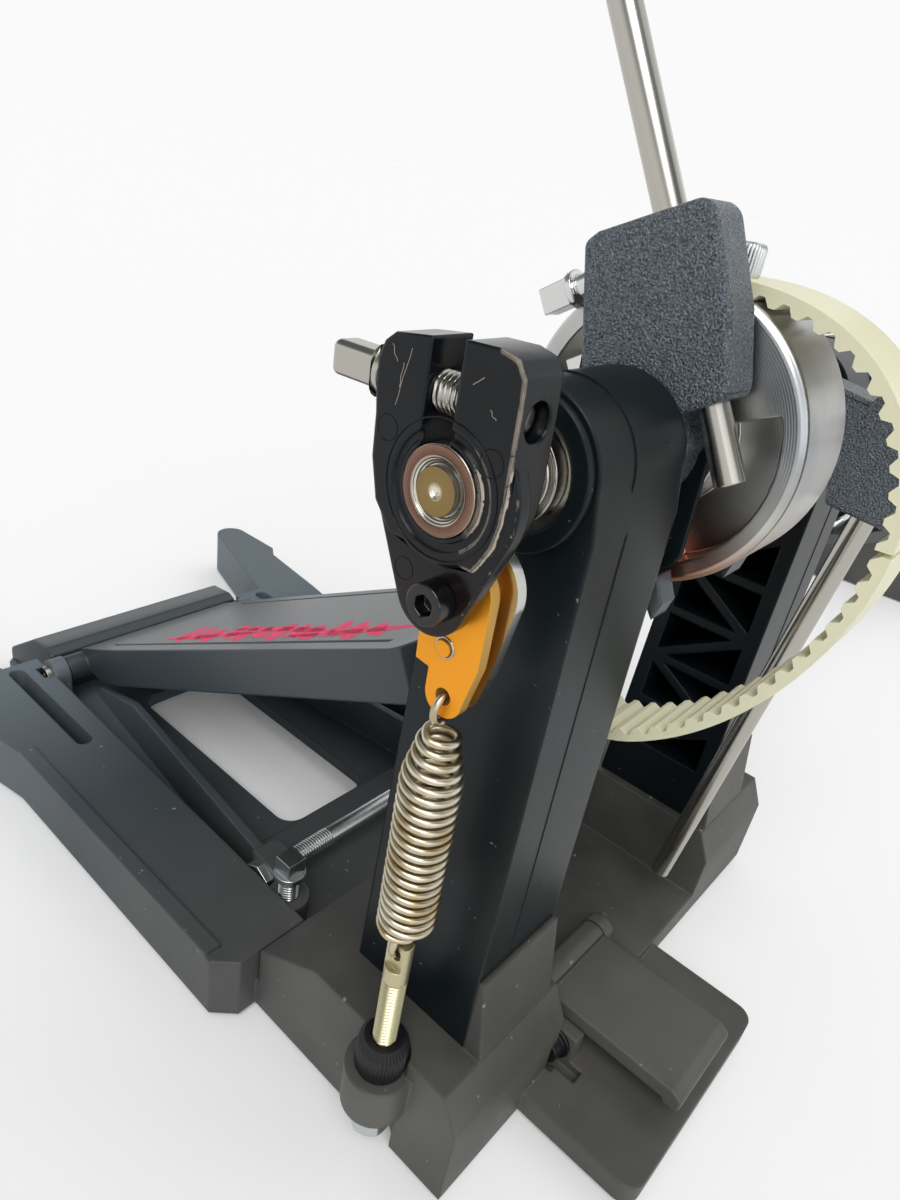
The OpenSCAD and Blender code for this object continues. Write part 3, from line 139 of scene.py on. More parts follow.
# Matt paper, lit a little more for the camera alone, so that it meets the backdrop without a line
paper = bpy.data.materials.new("white paper")
paper.use_nodes = True
paper.node_tree.nodes.clear()
matt = add(paper.node_tree, "ShaderNodeBsdfDiffuse", in_Color=linear("#f4f4f4"))
lift = add(paper.node_tree, "ShaderNodeEmission", in_Color=linear("#ffffff"))
direct = add(paper.node_tree, "ShaderNodeLightPath")
lifted = add(paper.node_tree, "ShaderNodeMath", [(0, direct.outputs["Is Camera Ray"])],
             operation="MULTIPLY", in_1=0.068)
paper.node_tree.links.new(lifted.outputs[0], lift.inputs["Strength"])
both = add(paper.node_tree, "ShaderNodeAddShader", [(0, matt.outputs[0]), (1, lift.outputs[0])])
add(paper.node_tree, "ShaderNodeOutputMaterial", [(0, both.outputs[0])])
floor_mesh.materials.append(paper)


# Camera
# It stands close to the right post, out beside it and a little in front and above. It looks
# inwards, back and down at the rocker.

seat_m = np.array([0.17230, 0.07428, 0.22338])
right = np.array([-0.67635835, 0.72485662, 0.13085203])
down = np.array([0.28057418, 0.41779595, -0.86413232])
ahead = np.array([-0.68104149, -0.54774941, -0.48595583])
lens = bpy.data.cameras.new("camera")
lens.sensor_fit = "VERTICAL"
lens.sensor_height = 36.0
lens.sensor_width = 27.0
lens.lens = 24.704
lens.shift_x = 0.03
lens.shift_y = 0.0175
lens.clip_start = 0.01
lens.clip_end = 200.0
camera = bpy.data.objects.new("camera", lens)
pose = np.eye(4)
pose[:3, 0] = right
pose[:3, 1] = -down
pose[:3, 2] = -ahead
pose[:3, 3] = seat_m
camera.matrix_world = Matrix(pose.tolist())
scene.collection.objects.link(camera)
scene.camera = camera


# Cast bases, heel plates and floor pads
# Each base is an aluminium casting with a black powder coat, sanded flat at the rim. The
# heel plate is a second casting, and the pads are moulded rubber glued underneath.

def finish_of(name, base, rough, metal=0.0, sheen=0.5):
    """A new material and its main shader. Sheen is how strongly a paint or plastic reflects."""
    material = bpy.data.materials.new(name)
    material.use_nodes = True
    tree = material.node_tree
    tree.nodes.clear()
    shader = add(tree, "ShaderNodeBsdfPrincipled")
    shader.inputs["Base Color"].default_value = linear(base)
    shader.inputs["Roughness"].default_value = rough
    shader.inputs["Metallic"].default_value = metal
    shader.inputs["Specular IOR Level"].default_value = sheen
    add(tree, "ShaderNodeOutputMaterial", [(0, shader.outputs[0])])
    return material, tree, shader


def grain(tree, shader, size_mm, height_mm, detail=2.0):
    """Bumps of one size over the surface, on Object coordinates."""
    place = add(tree, "ShaderNodeTexCoord").outputs["Object"]
    noise = add(tree, "ShaderNodeTexNoise", [("Vector", place)])
    noise.inputs["Scale"].default_value = 1000.0 / size_mm
    noise.inputs["Detail"].default_value = detail
    bump = add(tree, "ShaderNodeBump", [("Height", noise.outputs["Fac"])])
    bump.inputs["Distance"].default_value = height_mm / 1000.0
    tree.links.new(bump.outputs[0], shader.inputs["Normal"])


def rounded(tree, shader, radius_mm):
    """Shades edges as if they were rounded. It goes below the bumps when there are any."""
    soft_edge = add(tree, "ShaderNodeBevel", samples=8)
    soft_edge.inputs["Radius"].default_value = radius_mm / 1000.0
    bumps = shader.inputs["Normal"].links
    taker = bumps[0].from_node.inputs["Normal"] if bumps else shader.inputs["Normal"]
    tree.links.new(soft_edge.outputs[0], taker)


def mottled(tree, shader, size_mm, low, high, detail=4.0):
    """A colour that drifts between low and high over the surface."""
    place = add(tree, "ShaderNodeTexCoord").outputs["Object"]
    noise = add(tree, "ShaderNodeTexNoise", [("Vector", place)])
    noise.inputs["Scale"].default_value = 1000.0 / size_mm
    noise.inputs["Detail"].default_value = detail
    ramp = add(tree, "ShaderNodeValToRGB", [(0, noise.outputs["Fac"])])
    ramp.color_ramp.elements[0].position = 0.35
    ramp.color_ramp.elements[1].position = 0.68
    ramp.color_ramp.elements[0].color = linear(low)
    ramp.color_ramp.elements[1].color = linear(high)
    tree.links.new(ramp.outputs[0], shader.inputs["Base Color"])


def towards(tree, shader, axis, start_mm, full_mm, colour):
    """Turns the colour into another one along an axis, from one place to the other."""
    along = add(tree, "ShaderNodeSeparateXYZ", [(0, add(tree, "ShaderNodeTexCoord").outputs["Object"])])
    share = add(tree, "ShaderNodeMapRange", [("Value", along.outputs[axis])])
    share.inputs["From Min"].default_value = start_mm / 1000.0
    share.inputs["From Max"].default_value = full_mm / 1000.0
    mix = add(tree, "ShaderNodeMix", [(0, share.outputs[0])], data_type="RGBA", in_7=linear(colour))
    tree.links.new(shader.inputs["Base Color"].links[0].from_socket, mix.inputs[6])
    tree.links.new(mix.outputs[2], shader.inputs["Base Color"])


def specks(tree, shader, size_mm, cut, colour):
    """Small light specks of dust and nicks, where a noise of one size is above cut."""
    noise = add(tree, "ShaderNodeTexNoise", [("Vector", add(tree, "ShaderNodeTexCoord").outputs["Object"])])
    noise.inputs["Scale"].default_value = 1000.0 / size_mm
    noise.inputs["Detail"].default_value = 1.0
    share = add(tree, "ShaderNodeMapRange", [("Value", noise.outputs["Fac"])])
    share.inputs["From Min"].default_value = cut
    share.inputs["From Max"].default_value = cut + 0.06
    mix = add(tree, "ShaderNodeMix", [(0, share.outputs[0])], data_type="RGBA", in_7=linear(colour))
    tree.links.new(shader.inputs["Base Color"].links[0].from_socket, mix.inputs[6])
    tree.links.new(mix.outputs[2], shader.inputs["Base Color"])


def worn_edges(tree, shader, reach_mm, bare, size_mm, cut, *windows):
    """Paint rubbed through to bare metal near sharp edges, where a noise is high.

    The edge is where a normal averaged over reach_mm turns away from the true one. In each
    window (axis, start, full) the wear grows from one place in millimetres to the other.
    """
    place = add(tree, "ShaderNodeTexCoord").outputs["Object"]
    soft_normal = add(tree, "ShaderNodeBevel", samples=6)
    soft_normal.inputs["Radius"].default_value = reach_mm / 1000.0
    facing = add(tree, "ShaderNodeNewGeometry")
    agree = add(tree, "ShaderNodeVectorMath",
                [(0, soft_normal.outputs[0]), (1, facing.outputs["True Normal"])],
                operation="DOT_PRODUCT")
    edge = add(tree, "ShaderNodeMapRange", [("Value", agree.outputs["Value"])])
    edge.inputs["From Min"].default_value = 1.0
    edge.inputs["From Max"].default_value = 0.9
    noise = add(tree, "ShaderNodeTexNoise", [("Vector", place)])
    noise.inputs["Scale"].default_value = 1000.0 / size_mm
    noise.inputs["Detail"].default_value = 6.0
    noise.inputs["Roughness"].default_value = 0.7
    both = add(tree, "ShaderNodeMath", [(0, edge.outputs[0]), (1, noise.outputs["Fac"])],
               operation="MULTIPLY")
    along = add(tree, "ShaderNodeSeparateXYZ", [(0, place)])
    for axis, start_mm, full_mm in windows:
        grown = add(tree, "ShaderNodeMapRange", [("Value", along.outputs[axis])])
        grown.inputs["From Min"].default_value = start_mm / 1000.0
        grown.inputs["From Max"].default_value = full_mm / 1000.0
        both = add(tree, "ShaderNodeMath", [(0, both.outputs[0]), (1, grown.outputs[0])],
                   operation="MULTIPLY")
    mask = add(tree, "ShaderNodeMapRange", [("Value", both.outputs[0])])
    mask.inputs["From Min"].default_value = cut
    mask.inputs["From Max"].default_value = cut + 0.04
    colour = shader.inputs["Base Color"]
    mix = add(tree, "ShaderNodeMix", [(0, mask.outputs[0])], data_type="RGBA")
    mix.inputs[6].default_value = colour.default_value
    if colour.links:
        tree.links.new(colour.links[0].from_socket, mix.inputs[6])
    mix.inputs[7].default_value = linear(bare)
    tree.links.new(mix.outputs[2], colour)
    rough = add(tree, "ShaderNodeMapRange", [("Value", mask.outputs[0])])
    rough.inputs["To Min"].default_value = shader.inputs["Roughness"].default_value
    rough.inputs["To Max"].default_value = 0.45
    tree.links.new(rough.outputs[0], shader.inputs["Roughness"])


def dressed(name, material, edge_mm, segments=2):
    """A merged copy of a CAD node in its place, with real round edges where edge_mm is not 0.

    Castings with many openings pass 0.0, and their material shades the edges round instead.
    """
    sharp = np.radians(32.0)
    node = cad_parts[name]
    mesh = node.data.copy()
    mesh.name = name + "_finished"
    # The loaded normals belong to loose triangles and would bend the shading of merged ones
    if mesh.has_custom_normals:
        mesh.attributes.remove(mesh.attributes["custom_normal"])
    work = bmesh.new()
    work.from_mesh(mesh)
    bmesh.ops.remove_doubles(work, verts=work.verts, dist=2e-6)
    if edge_mm:
        bmesh.ops.dissolve_limit(work, angle_limit=np.radians(0.4), verts=work.verts, edges=work.edges)
    for face in work.faces:
        face.smooth = True
    work.to_mesh(mesh)
    work.free()
    mesh.materials.clear()
    mesh.materials.append(material)
    piece = bpy.data.objects.new(name + "_finished", mesh)
    scene.collection.objects.link(piece)
    if edge_mm:
        bevel = piece.modifiers.new("edges", "BEVEL")
        bevel.width = edge_mm / 1000.0
        bevel.segments = segments
        bevel.limit_method = "ANGLE"
        bevel.angle_limit = sharp
        bevel.use_clamp_overlap = False
        bevel.harden_normals = True
        bevel.miter_outer = "MITER_ARC"
    else:
        mesh.set_sharp_from_angle(angle=sharp)
    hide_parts(name)
    return piece


# Baked powder: a fine orange peel scatters the light, so the black looks charcoal. It is
# browned by dust in front and, as a painted sheen, bluish then lighter towards the heel. It has light
# specks and rubbed edges
powder_coat_painted_sheen, tree, shader = finish_of("black powder coat on a casting", "#3a3b3c", 0.5, 0.0, 0.4)
grain(tree, shader, 0.5, 0.05)
rounded(tree, shader, 1.2)
mottled(tree, shader, 38.0, "#41423f", "#55544f")
# Painted sheen: bluish from Y -10 to -150 mm, then lighter from -130 to -215 mm, standing in for the hazy
# reflection on the back tops
towards(tree, shader, "Y", -10.0, -150.0, "#384046")
towards(tree, shader, "Y", -130.0, -215.0, "#616b71")
specks(tree, shader, 2.2, 0.76, "#8c8c86")
worn_edges(tree, shader, 0.9, "#86817a", 5.0, 0.74)
# The same powder in dark grey, laid smoother: it has wide soft reflections
board_coat, tree, shader = finish_of("dark grey powder coat", "#373e42", 0.33)
grain(tree, shader, 0.45, 0.03)
rounded(tree, shader, 1.0)
# Rubber takes in the light and shows next to no reflection
pad_rubber, tree, shader = finish_of("moulded rubber", "#151515", 0.85)
grain(tree, shader, 0.8, 0.05)

for part in ("base_frame", "second_base_frame"):
    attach(dressed(part, powder_coat_painted_sheen, 0.0), "frame")
for part in ("heel_plate", "second_heel_plate"):
    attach(dressed(part, board_coat, 0.8), "frame")
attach(dressed("floor_pads", pad_rubber, 0.3), "frame")


# Posts with their screws
# Round-topped aluminium castings, painted smooth satin black. A parting line from the
# mould runs round each one, and two screws hold it from below. The hinge pins are turned
# from the same bar as the screws.

# Satin paint: a soft streak of the window runs down it, with a few specks of dust
post_paint, tree, shader = finish_of("satin black paint on a casting", "#10171a", 0.34, 0.0, 0.25)
grain(tree, shader, 0.6, 0.02)
rounded(tree, shader, 1.0)
mottled(tree, shader, 55.0, "#0b1215", "#161e22")
specks(tree, shader, 1.4, 0.77, "#70777a")
for part in ("near_post", "far_post", "second_posts"):
    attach(dressed(part, post_paint, 0.0), "frame")


def surface(name, grid, material, around=True, capped=False, smooth_deg=None):
    """A piece from a grid of points in metres: rows along it, columns round or across it."""
    rows, columns = grid.shape[:2]
    row, column = np.meshgrid(np.arange(rows - 1), np.arange(columns - (not around)), indexing="ij")
    here = row * columns + column
    beside = row * columns + (column + 1) % columns
    faces = np.stack([here, beside, beside + columns, here + columns], -1).reshape(-1, 4).tolist()
    if capped:
        faces += [list(range(columns))[::-1], list(range((rows - 1) * columns, rows * columns))]
    mesh = bpy.data.meshes.new(name)
    mesh.from_pydata(grid.reshape(-1, 3).tolist(), [], faces)
    work = bmesh.new()
    work.from_mesh(mesh)
    if around:
        bmesh.ops.recalc_face_normals(work, faces=work.faces)
    for face in work.faces:
        face.smooth = True
    work.to_mesh(mesh)
    work.free()
    if smooth_deg:
        mesh.set_sharp_from_angle(angle=np.radians(smooth_deg))
    mesh.materials.append(material)
    piece = bpy.data.objects.new(name, mesh)
    scene.collection.objects.link(piece)
    return piece


def tube(name, path, radius, sides, material):
    """A round bar along a path of points. Its cross-section is carried along without twist."""
    way = np.gradient(path, axis=0)
    way /= np.linalg.norm(way, axis=1, keepdims=True)
    side = np.empty_like(way)
    held = np.cross(way[0], (0.31, 0.92, 0.23))
    for place, heading in enumerate(way):
        held = held - held @ heading * heading
        held /= np.linalg.norm(held)
        side[place] = held
    other = np.cross(way, side)
    turn = np.linspace(0, 2 * np.pi, sides, endpoint=False)[None, :, None]
    grid = path[:, None] + radius * (np.cos(turn) * side[:, None] + np.sin(turn) * other[:, None])
    return surface(name, grid, material, capped=True, smooth_deg=50)


axle_mm = 180.0
post_round_mm = 15.25


def seam_path(x_mm):
    """The parting line of a post: up its front, round the axle, and down its back."""
    turn = np.radians(np.linspace(-6, 186, 49))
    top = np.column_stack([post_round_mm * np.cos(turn), axle_mm + post_round_mm * np.sin(turn)])
    rise = np.linspace(0, 1, 12)[:, None]
    front = (16.5, 64) + rise * (0.0, 107.0)
    back = (-15.85, 161) + rise * (-4.2, -120.0)
    flat = np.vstack([front, top, back]) / 1000
    return np.column_stack([np.full(len(flat), x_mm / 1000), flat])


# The second pedal's middle plane lies here, and its pieces mirror the main pedal's right side
second_mm = -520.0
seam_mm = 45.7
for number, x_mm in enumerate((seam_mm, -85.7, second_mm - seam_mm, second_mm + seam_mm)):
    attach(tube(f"post_seam_{number}", seam_path(x_mm), 0.00022, 6, post_paint), "frame")
# Turned and polished bar: clear, slightly blurred reflections on a warm grey
bright_steel, tree, shader = finish_of("bright turned steel", "#b9b6ae", 0.24, 1.0)
for part in ("post_screws", "hinge_pins"):
    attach(dressed(part, bright_steel, 0.2), "frame")


# Axle bearings
# Ball bearings with ground steel rings, pressed into the posts. A black cover ring is
# pressed over each one.

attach(dressed("bearing_outer_rings", bright_steel, 0.15), "frame")
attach(dressed("bearing_covers", post_paint, 0.4), "frame")
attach(dressed("bearing_inner_ring", bright_steel, 0.15), "drive")


# Axle and its bush
# A steel bar with a brassy tint and a drilled centre in its end. The bush's end is turned
# and heat-browned round a bright countersink.

def from_axle(tree):
    """The place across the axle line, and the distance from that line in metres."""
    place = add(tree, "ShaderNodeTexCoord").outputs["Object"]
    across = add(tree, "ShaderNodeMapping", [("Vector", place)])
    across.inputs["Scale"].default_value = (0.0, 1.0, 1.0)
    across.inputs["Location"].default_value = (0.0, 0.0, -axle_mm / 1000.0)
    reach = add(tree, "ShaderNodeVectorMath", [(0, across.outputs[0])], operation="LENGTH")
    return across.outputs[0], reach.outputs["Value"]


def by_radius(tree, shader, inner_mm, outer_mm, stops):
    """Colours by the distance from the axle line: (radius in mm, hex colour) stops."""
    reach = from_axle(tree)[1]
    share = add(tree, "ShaderNodeMapRange", [("Value", reach)])
    share.inputs["From Min"].default_value = inner_mm / 1000.0
    share.inputs["From Max"].default_value = outer_mm / 1000.0
    ramp = add(tree, "ShaderNodeValToRGB", [(0, share.outputs[0])])
    knots = ramp.color_ramp.elements
    while len(knots) < len(stops):
        knots.new(0.5)
    for knot, (radius, colour) in zip(knots, stops):
        knot.position = (radius - inner_mm) / (outer_mm - inner_mm)
        knot.color = linear(colour)
    tree.links.new(ramp.outputs[0], shader.inputs["Base Color"])


def turning_marks(tree, shader, spacing_mm, height_mm):
    """Fine rings that a lathe tool leaves round the axle line.

    A ring texture of scale 1 repeats every 0.314 of a length.
    """
    rings = add(tree, "ShaderNodeTexWave", [("Vector", from_axle(tree)[0])], wave_type="RINGS",
                rings_direction="X")
    rings.inputs["Scale"].default_value = 314.0 / spacing_mm
    rings.inputs["Distortion"].default_value = 0.6
    rings.inputs["Detail"].default_value = 2.0
    bump = add(tree, "ShaderNodeBump", [("Height", rings.outputs["Fac"])])
    bump.inputs["Distance"].default_value = height_mm / 1000.0
    tree.links.new(bump.outputs[0], shader.inputs["Normal"])


# A cut end under old oil: a bright centre hole, a brassy face and a ring of painted shade for
# the gap round it. The tool leaves rings 0.1 mm apart, and they are drawn at 0.35 mm so that they show
axle_steel_painted_gap_shade, tree, shader = finish_of("turned axle steel", "#b9b6ae", 0.3, 1.0)
# Painted shade: the dark ring from 3.8 to 4.1 mm stands in for the shaded gap round the axle's end
by_radius(tree, shader, 0.0, 9.0, ((0.9, "#e6dfcc"), (1.5, "#8f7a4f"), (3.8, "#8b744c"), (3.95, "#3a3024"),
                                    (4.1, "#d5d2ca")))
turning_marks(tree, shader, 0.35, 0.03)
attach(dressed("axle", axle_steel_painted_gap_shade, 0.2), "drive")
# Steel browned by heat between two bright turned rings. Its tool rings are drawn coarse too
bush_steel, tree, shader = finish_of("heat-browned turned steel", "#b9b6ae", 0.24, 1.0)
by_radius(tree, shader, 3.0, 10.0, ((3.0, "#e2e1dd"), (5.2, "#d5cfc2"), (5.65, "#6e5244"), (7.1, "#8b6e5d"),
                                    (7.32, "#b9b6ae")))
turning_marks(tree, shader, 0.42, 0.06)
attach(dressed("axle_bush", bush_steel, 0.3), "drive")


# Footboards
# Aluminium castings with skirts and ribs below, powder coated dark grey. A band of pink is
# printed on the main one, and a zinc-plated clamp under its toe holds the belt.

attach(dressed("footboard", board_coat, 0.0), "board")
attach(dressed("second_footboard", board_coat, 0.0), "second_board")
# Screen-printed ink lies matt on the coat and is uneven where it is thin
pink_print, tree, shader = finish_of("screen-printed pink ink", "#ea1f5f", 0.5, 0.0, 0.2)
mottled(tree, shader, 1.6, "#d81552", "#f5306f")
board_mm = 192.0
hinge_up_mm = 22.0
toe_drop_mm = 69.6
toe_behind_mm = 37.6
# The ink lies just clear of the board's top
ink_top_mm = 6.53
slope = np.arcsin((axle_mm - toe_drop_mm - hinge_up_mm) / board_mm)
hinge_m = np.array([0.0, -toe_behind_mm - board_mm * np.cos(slope), hinge_up_mm]) / 1000


def on_board(along, across, up_mm):
    """Points in metres from millimetres along, across and above a footboard at rest."""
    level = np.stack(np.broadcast_arrays(across, along, up_mm), -1) / 1000.0
    y = level[..., 1] * np.cos(slope) - level[..., 2] * np.sin(slope)
    z = level[..., 1] * np.sin(slope) + level[..., 2] * np.cos(slope)
    return hinge_m + np.stack([level[..., 0], y, z], -1)


def stroke(start, end, width_mm, bend_mm):
    """A printed stroke from one (along, across) point to another, tapering to both ends.

    Its middle line bows by bend_mm, and its half width is width_mm / 2 * sin(pi t) ** 0.6.
    """
    t = np.linspace(0, 1, 25)[:, None]
    middle = np.array(start) + t * (np.array(end) - np.array(start))
    square = np.array([-(end[1] - start[1]), end[0] - start[0]], float)
    square /= np.linalg.norm(square)
    half = width_mm / 2 * np.sin(np.pi * t) ** 0.6 * (1 + 0.12 * np.sin(19 * t))
    bow = bend_mm * np.sin(np.pi * t)
    edges = np.stack([middle + (bow - half) * square, middle + (bow + half) * square], 1)
    return on_board(edges[..., 0], edges[..., 1], ink_top_mm)


# Three long strokes along the board, crossed by twelve short slanting ones. Each has its
# start, end, width and bow
stroke_ends = [((54, 24), (108, 18), 5.6, 1.5),
               ((84, 14), (152, 20), 5.2, -1.4),
               ((128, 25), (188, 15), 5.6, 1.4)]
for i in range(12):
    foot = (58 + 9.6 * i, 8 + i % 3 * 2)
    head = (70 + 9.6 * i, 29 - i % 2 * 3)
    stroke_ends.append((foot, head, 7.4 - 1.4 * (i % 2), 1.2))
for number, ends in enumerate(stroke_ends):
    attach(surface(f"printed_stroke_{number}", stroke(*ends), pink_print, around=False), "board")
# Bright zinc: a cool white metal with blurred reflections
zinc_plate, tree, shader = finish_of("bright zinc plate", "#cfd4d3", 0.3, 1.0)
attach(dressed("toe_clamp", zinc_plate, 0.25), "board")


# Cams
# Cast aluminium discs, turned and polished on the rim, with a black clamping core. The
# belt is clamped on top of the main one by a knurled cap screw.

def knurled(name, centre_mm, profile, beyond_mm, grooves, depth_mm, material):
    """A turned piece on an upright axis, from (radius, height) points in millimetres.

    Where the radius is over beyond_mm it falls by depth_mm |cos(grooves angle / 2)|.
    """
    profile = np.array(profile)
    angle = np.linspace(0, 2 * np.pi, 6 * grooves, endpoint=False)
    cut = depth_mm * (profile[:, :1] > beyond_mm)
    radius = profile[:, :1] - cut * np.abs(np.cos(grooves * angle / 2))
    height = np.broadcast_to(profile[:, 1:], radius.shape)
    x = centre_mm[0] + radius * np.cos(angle)
    y = centre_mm[1] + radius * np.sin(angle)
    grid = np.stack([x, y, height], -1)
    return surface(name, grid / 1000, material, smooth_deg=40)


# A polished casting: cloudy patches of light grey, and low down a coppery painted reflection.
# Its turning rings are drawn coarser than real ones and very shallow
cast_alu_painted_reflection, tree, shader = finish_of("polished cast aluminium", "#cfcdc8", 0.3, 1.0)
mottled(tree, shader, 30.0, "#a6a9ac", "#d6d4cc", 3.0)
# Painted reflection: below 170 mm the colour turns coppery, standing in for a warm reflection in the polish
towards(tree, shader, "Z", 170.0, 150.0, "#b87a55")
turning_marks(tree, shader, 0.5, 0.01)
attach(dressed("drive_cam", cast_alu_painted_reflection, 0.5), "drive")
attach(dressed("cam_core", post_paint, 0.4), "drive")
# The cap screw's shank, the rounded rim of its head and the socket in it, from below up
cap_profile = ((0.02, 195), (3, 195), (3, 211.9),
               (4.6, 211.9), (4.95, 212.2), (5, 212.6), (5, 216.7), (4.95, 217.1), (4.6, 217.7),
               (4.1, 217.9), (3.1, 217.9), (2.8, 217.6), (2.8, 214.4), (0.02, 214.4))
cap = knurled("belt_clamp_knurled", (1.5, 3.0), cap_profile, 4.9, 44, 0.22, zinc_plate)
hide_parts("belt_clamp")
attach(cap, "drive")
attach(dressed("second_cam", cast_alu_painted_reflection, 0.3), "left_drive")


# Belts
# Toothed belts of moulded cream polyurethane. Each is clamped on top of its cam and under
# its footboard's toe, in an upper and a lower run.

# Moulded polyurethane looks a little waxy, because light sinks 1 to 2 mm into it
belt_urethane, tree, shader = finish_of("cream polyurethane", "#e9e6c6", 0.42)
shader.inputs["Subsurface Weight"].default_value = 0.15
shader.inputs["Subsurface Radius"].default_value = (0.002, 0.002, 0.001)


def belt(name):
    """A belt run: a finished copy of its CAD node, with its place baked into its points."""
    piece = dressed(name, belt_urethane, 0.0)
    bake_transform(piece)
    return piece


belt("belt_upper")
belt("belt_lower")
belt("second_belt_upper")
belt("second_belt_lower")


# Beater hubs and their key bolts
# Zinc castings with a coarse black crinkle paint. In each hub, chromed key bolts with square
# heads clamp it on its shaft and clamp the beater's rod in it.

# Crinkle paint: shiny grains of about 0.4 mm, which glitter grey out of the black, partly as real gloss and
# partly as grey highlights painted into the colour
crinkle, tree, shader = finish_of("black crinkle paint", "#191e23", 0.27, 0.0, 0.9)
grain(tree, shader, 0.5, 0.8, 2.0)
# Painted highlights: grey specks 0.38 mm across stand in for the glints on the grains
mottled(tree, shader, 0.38, "#0f1418", "#65727e", 2.0)
# Chrome is near a mirror, so it shows the white room and the dark castings side by side
chrome_plate, tree, shader = finish_of("chrome plate", "#d9d9d8", 0.1, 1.0)
rounded(tree, shader, 0.5)
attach(dressed("beater_hub", crinkle, 1.3, 4), "drive")
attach(dressed("left_hub", crinkle, 1.2, 3), "left_arm")
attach(dressed("hub_bolts", chrome_plate, 0.25), "drive")
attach(dressed("left_hub_bolts", chrome_plate, 0.25), "left_arm")


# Beaters
# Bright drawn steel rods, held in the hubs' bores. The heads are hard pressed wool felt, each
# with a bore for its rod.

# Pressed felt: chalky and soft, with no gloss
wool_felt, tree, shader = finish_of("pressed wool felt", "#e6e1d3", 0.95)
grain(tree, shader, 0.7, 0.3, 6.0)
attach(dressed("beater_rod", bright_steel, 0.4), "beater")
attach(dressed("beater_head", wool_felt, 0.0), "beater")
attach(dressed("left_beater_rod", bright_steel, 0.4), "left_beater")
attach(dressed("left_beater_head", wool_felt, 0.0), "left_beater")


# Rockers
# Split clamps of cast zinc, painted gloss black. A bolt across the slot clamps each on its
# axle, and handling has chipped the paint along the main one's front edges.

# Gloss paint over a slightly wavy casting: deep black with clear reflections
plain_black, tree, shader = finish_of("gloss black paint", "#090c10", 0.18, 0.0, 0.28)
grain(tree, shader, 4.0, 0.02)
rounded(tree, shader, 0.6)
# The same paint where it is chipped: light metal shows in ragged lines along the edges, most
# on the outer face and towards the drum. Low down the black is a little brown
gloss_black, tree, shader = finish_of("chipped gloss black paint", "#090c10", 0.18, 0.0, 0.28)
grain(tree, shader, 4.0, 0.03)
rounded(tree, shader, 0.9)
mottled(tree, shader, 14.0, "#060a0f", "#0d1218", 3.0)
towards(tree, shader, "Z", 174.0, 160.0, "#1c120f")
worn_edges(tree, shader, 1.2, "#cdc0ae", 1.7, 0.35, ("X", 77.0, 78.6), ("Y", 2.0, 7.5))
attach(dressed("rocker", gloss_black, 0.3), "drive")
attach(dressed("rocker_bolt", bright_steel, 1.3, 4), "drive")
# Black oxide worn off the rims of the head and its socket, so they glint
socket_black, tree, shader = finish_of("worn black oxide", "#0d0d0f", 0.22)
worn_edges(tree, shader, 0.35, "#9a958c", 1.2, 0.4)
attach(dressed("hanger_screw", socket_black, 0.45, 3), "drive")
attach(dressed("second_rocker", plain_black, 0.3), "left_drive")
# Dull bare zinc, which makes a scratch a pale line
bare_metal, tree, shader = finish_of("bare zinc casting under the paint", "#b3aa9c", 0.5, 0.7)


def ring_path(x_mm, y_mm, z_mm, radius_mm, steps=40):
    """A circle across X round a point."""
    turn = np.linspace(0, 2 * np.pi, steps)
    circle = [np.full(steps, x_mm), y_mm + radius_mm * np.cos(turn), z_mm + radius_mm * np.sin(turn)]
    return np.column_stack(circle) / 1000


# Round marks that the mould's ejector pins leave on the outer face and on the lobe below it,
# and a rim round the bush. Each mark has its X, Y, Z and radius
face_mm, lobe_mm = 78.8, 78.0
marks = ((face_mm, -12.0, 186.4, 2.1), (face_mm, 8.8, 187.2, 2.1),
         (lobe_mm, -5.4, 164.4, 2.0), (lobe_mm, 6.2, 165.0, 2.1))
for number, mark in enumerate(marks):
    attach(tube(f"ejector_mark_{number}", ring_path(*mark), 0.00010, 6, plain_black), "drive")
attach(tube("bush_rim", ring_path(78.85, 0, axle_mm, 11.1, 90), 0.00016, 6, plain_black), "drive")
# Scratches across the face, each from one (Y, Z) place to another
scratches = (((-8.9, 199.2), (-11.0, 190.2)), ((-10.2, 196.8), (-10.6, 193.0)),
             ((6.9, 194.4), (8.2, 193.2)), ((3.2, 197.0), (5.0, 198.4)),
             ((-12.9, 199.0), (-11.6, 196.6)))
for number, (first, last) in enumerate(scratches):
    t = np.linspace(0, 1, 7)[:, None]
    line = np.array(first) + t * (np.array(last) - np.array(first)) + 0.12 * np.sin(9 * t)
    line = np.column_stack([np.full(len(t), 78.78), line]) / 1000
    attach(tube(f"scratch_{number}", line, 0.00006, 5, bare_metal), "drive")


def thread(name, start_mm, way, length_mm, radius_mm, pitch_mm, material):
    """A screw thread round an axis.

    The radius is radius_mm - 0.61 pitch_mm |2 frac(s / pitch_mm - turn) - 1|, where s runs
    along the axis and turn counts whole turns round it.
    """
    way = np.array(way, float) / np.linalg.norm(way)
    side = np.cross(way, (0.2, 0.35, 0.91))
    side /= np.linalg.norm(side)
    other = np.cross(way, side)
    s = np.arange(0, length_mm, pitch_mm / 8)[:, None]
    turn = np.arange(40)[None] / 40
    radius = radius_mm - 0.61 * pitch_mm * np.abs(2 * ((s / pitch_mm - turn) % 1) - 1)
    angle = 2 * np.pi * turn[..., None]
    outward = np.cos(angle) * side + np.sin(angle) * other
    grid = np.array(start_mm) + s[..., None] * way + radius[..., None] * outward
    return surface(name, grid / 1000, material, capped=True, smooth_deg=60)


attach(thread("rocker_bolt_thread", (74.1, -7.5, 193.5), (0, 1, 0), 14, 3.35, 1.0, bright_steel), "drive")


# Hangers
# Each has a sawn aluminium plate, anodised gold, in front of a stamped steel disc with
# nickel plate. A rivet holds them together, and both swing on the rocker's screw.

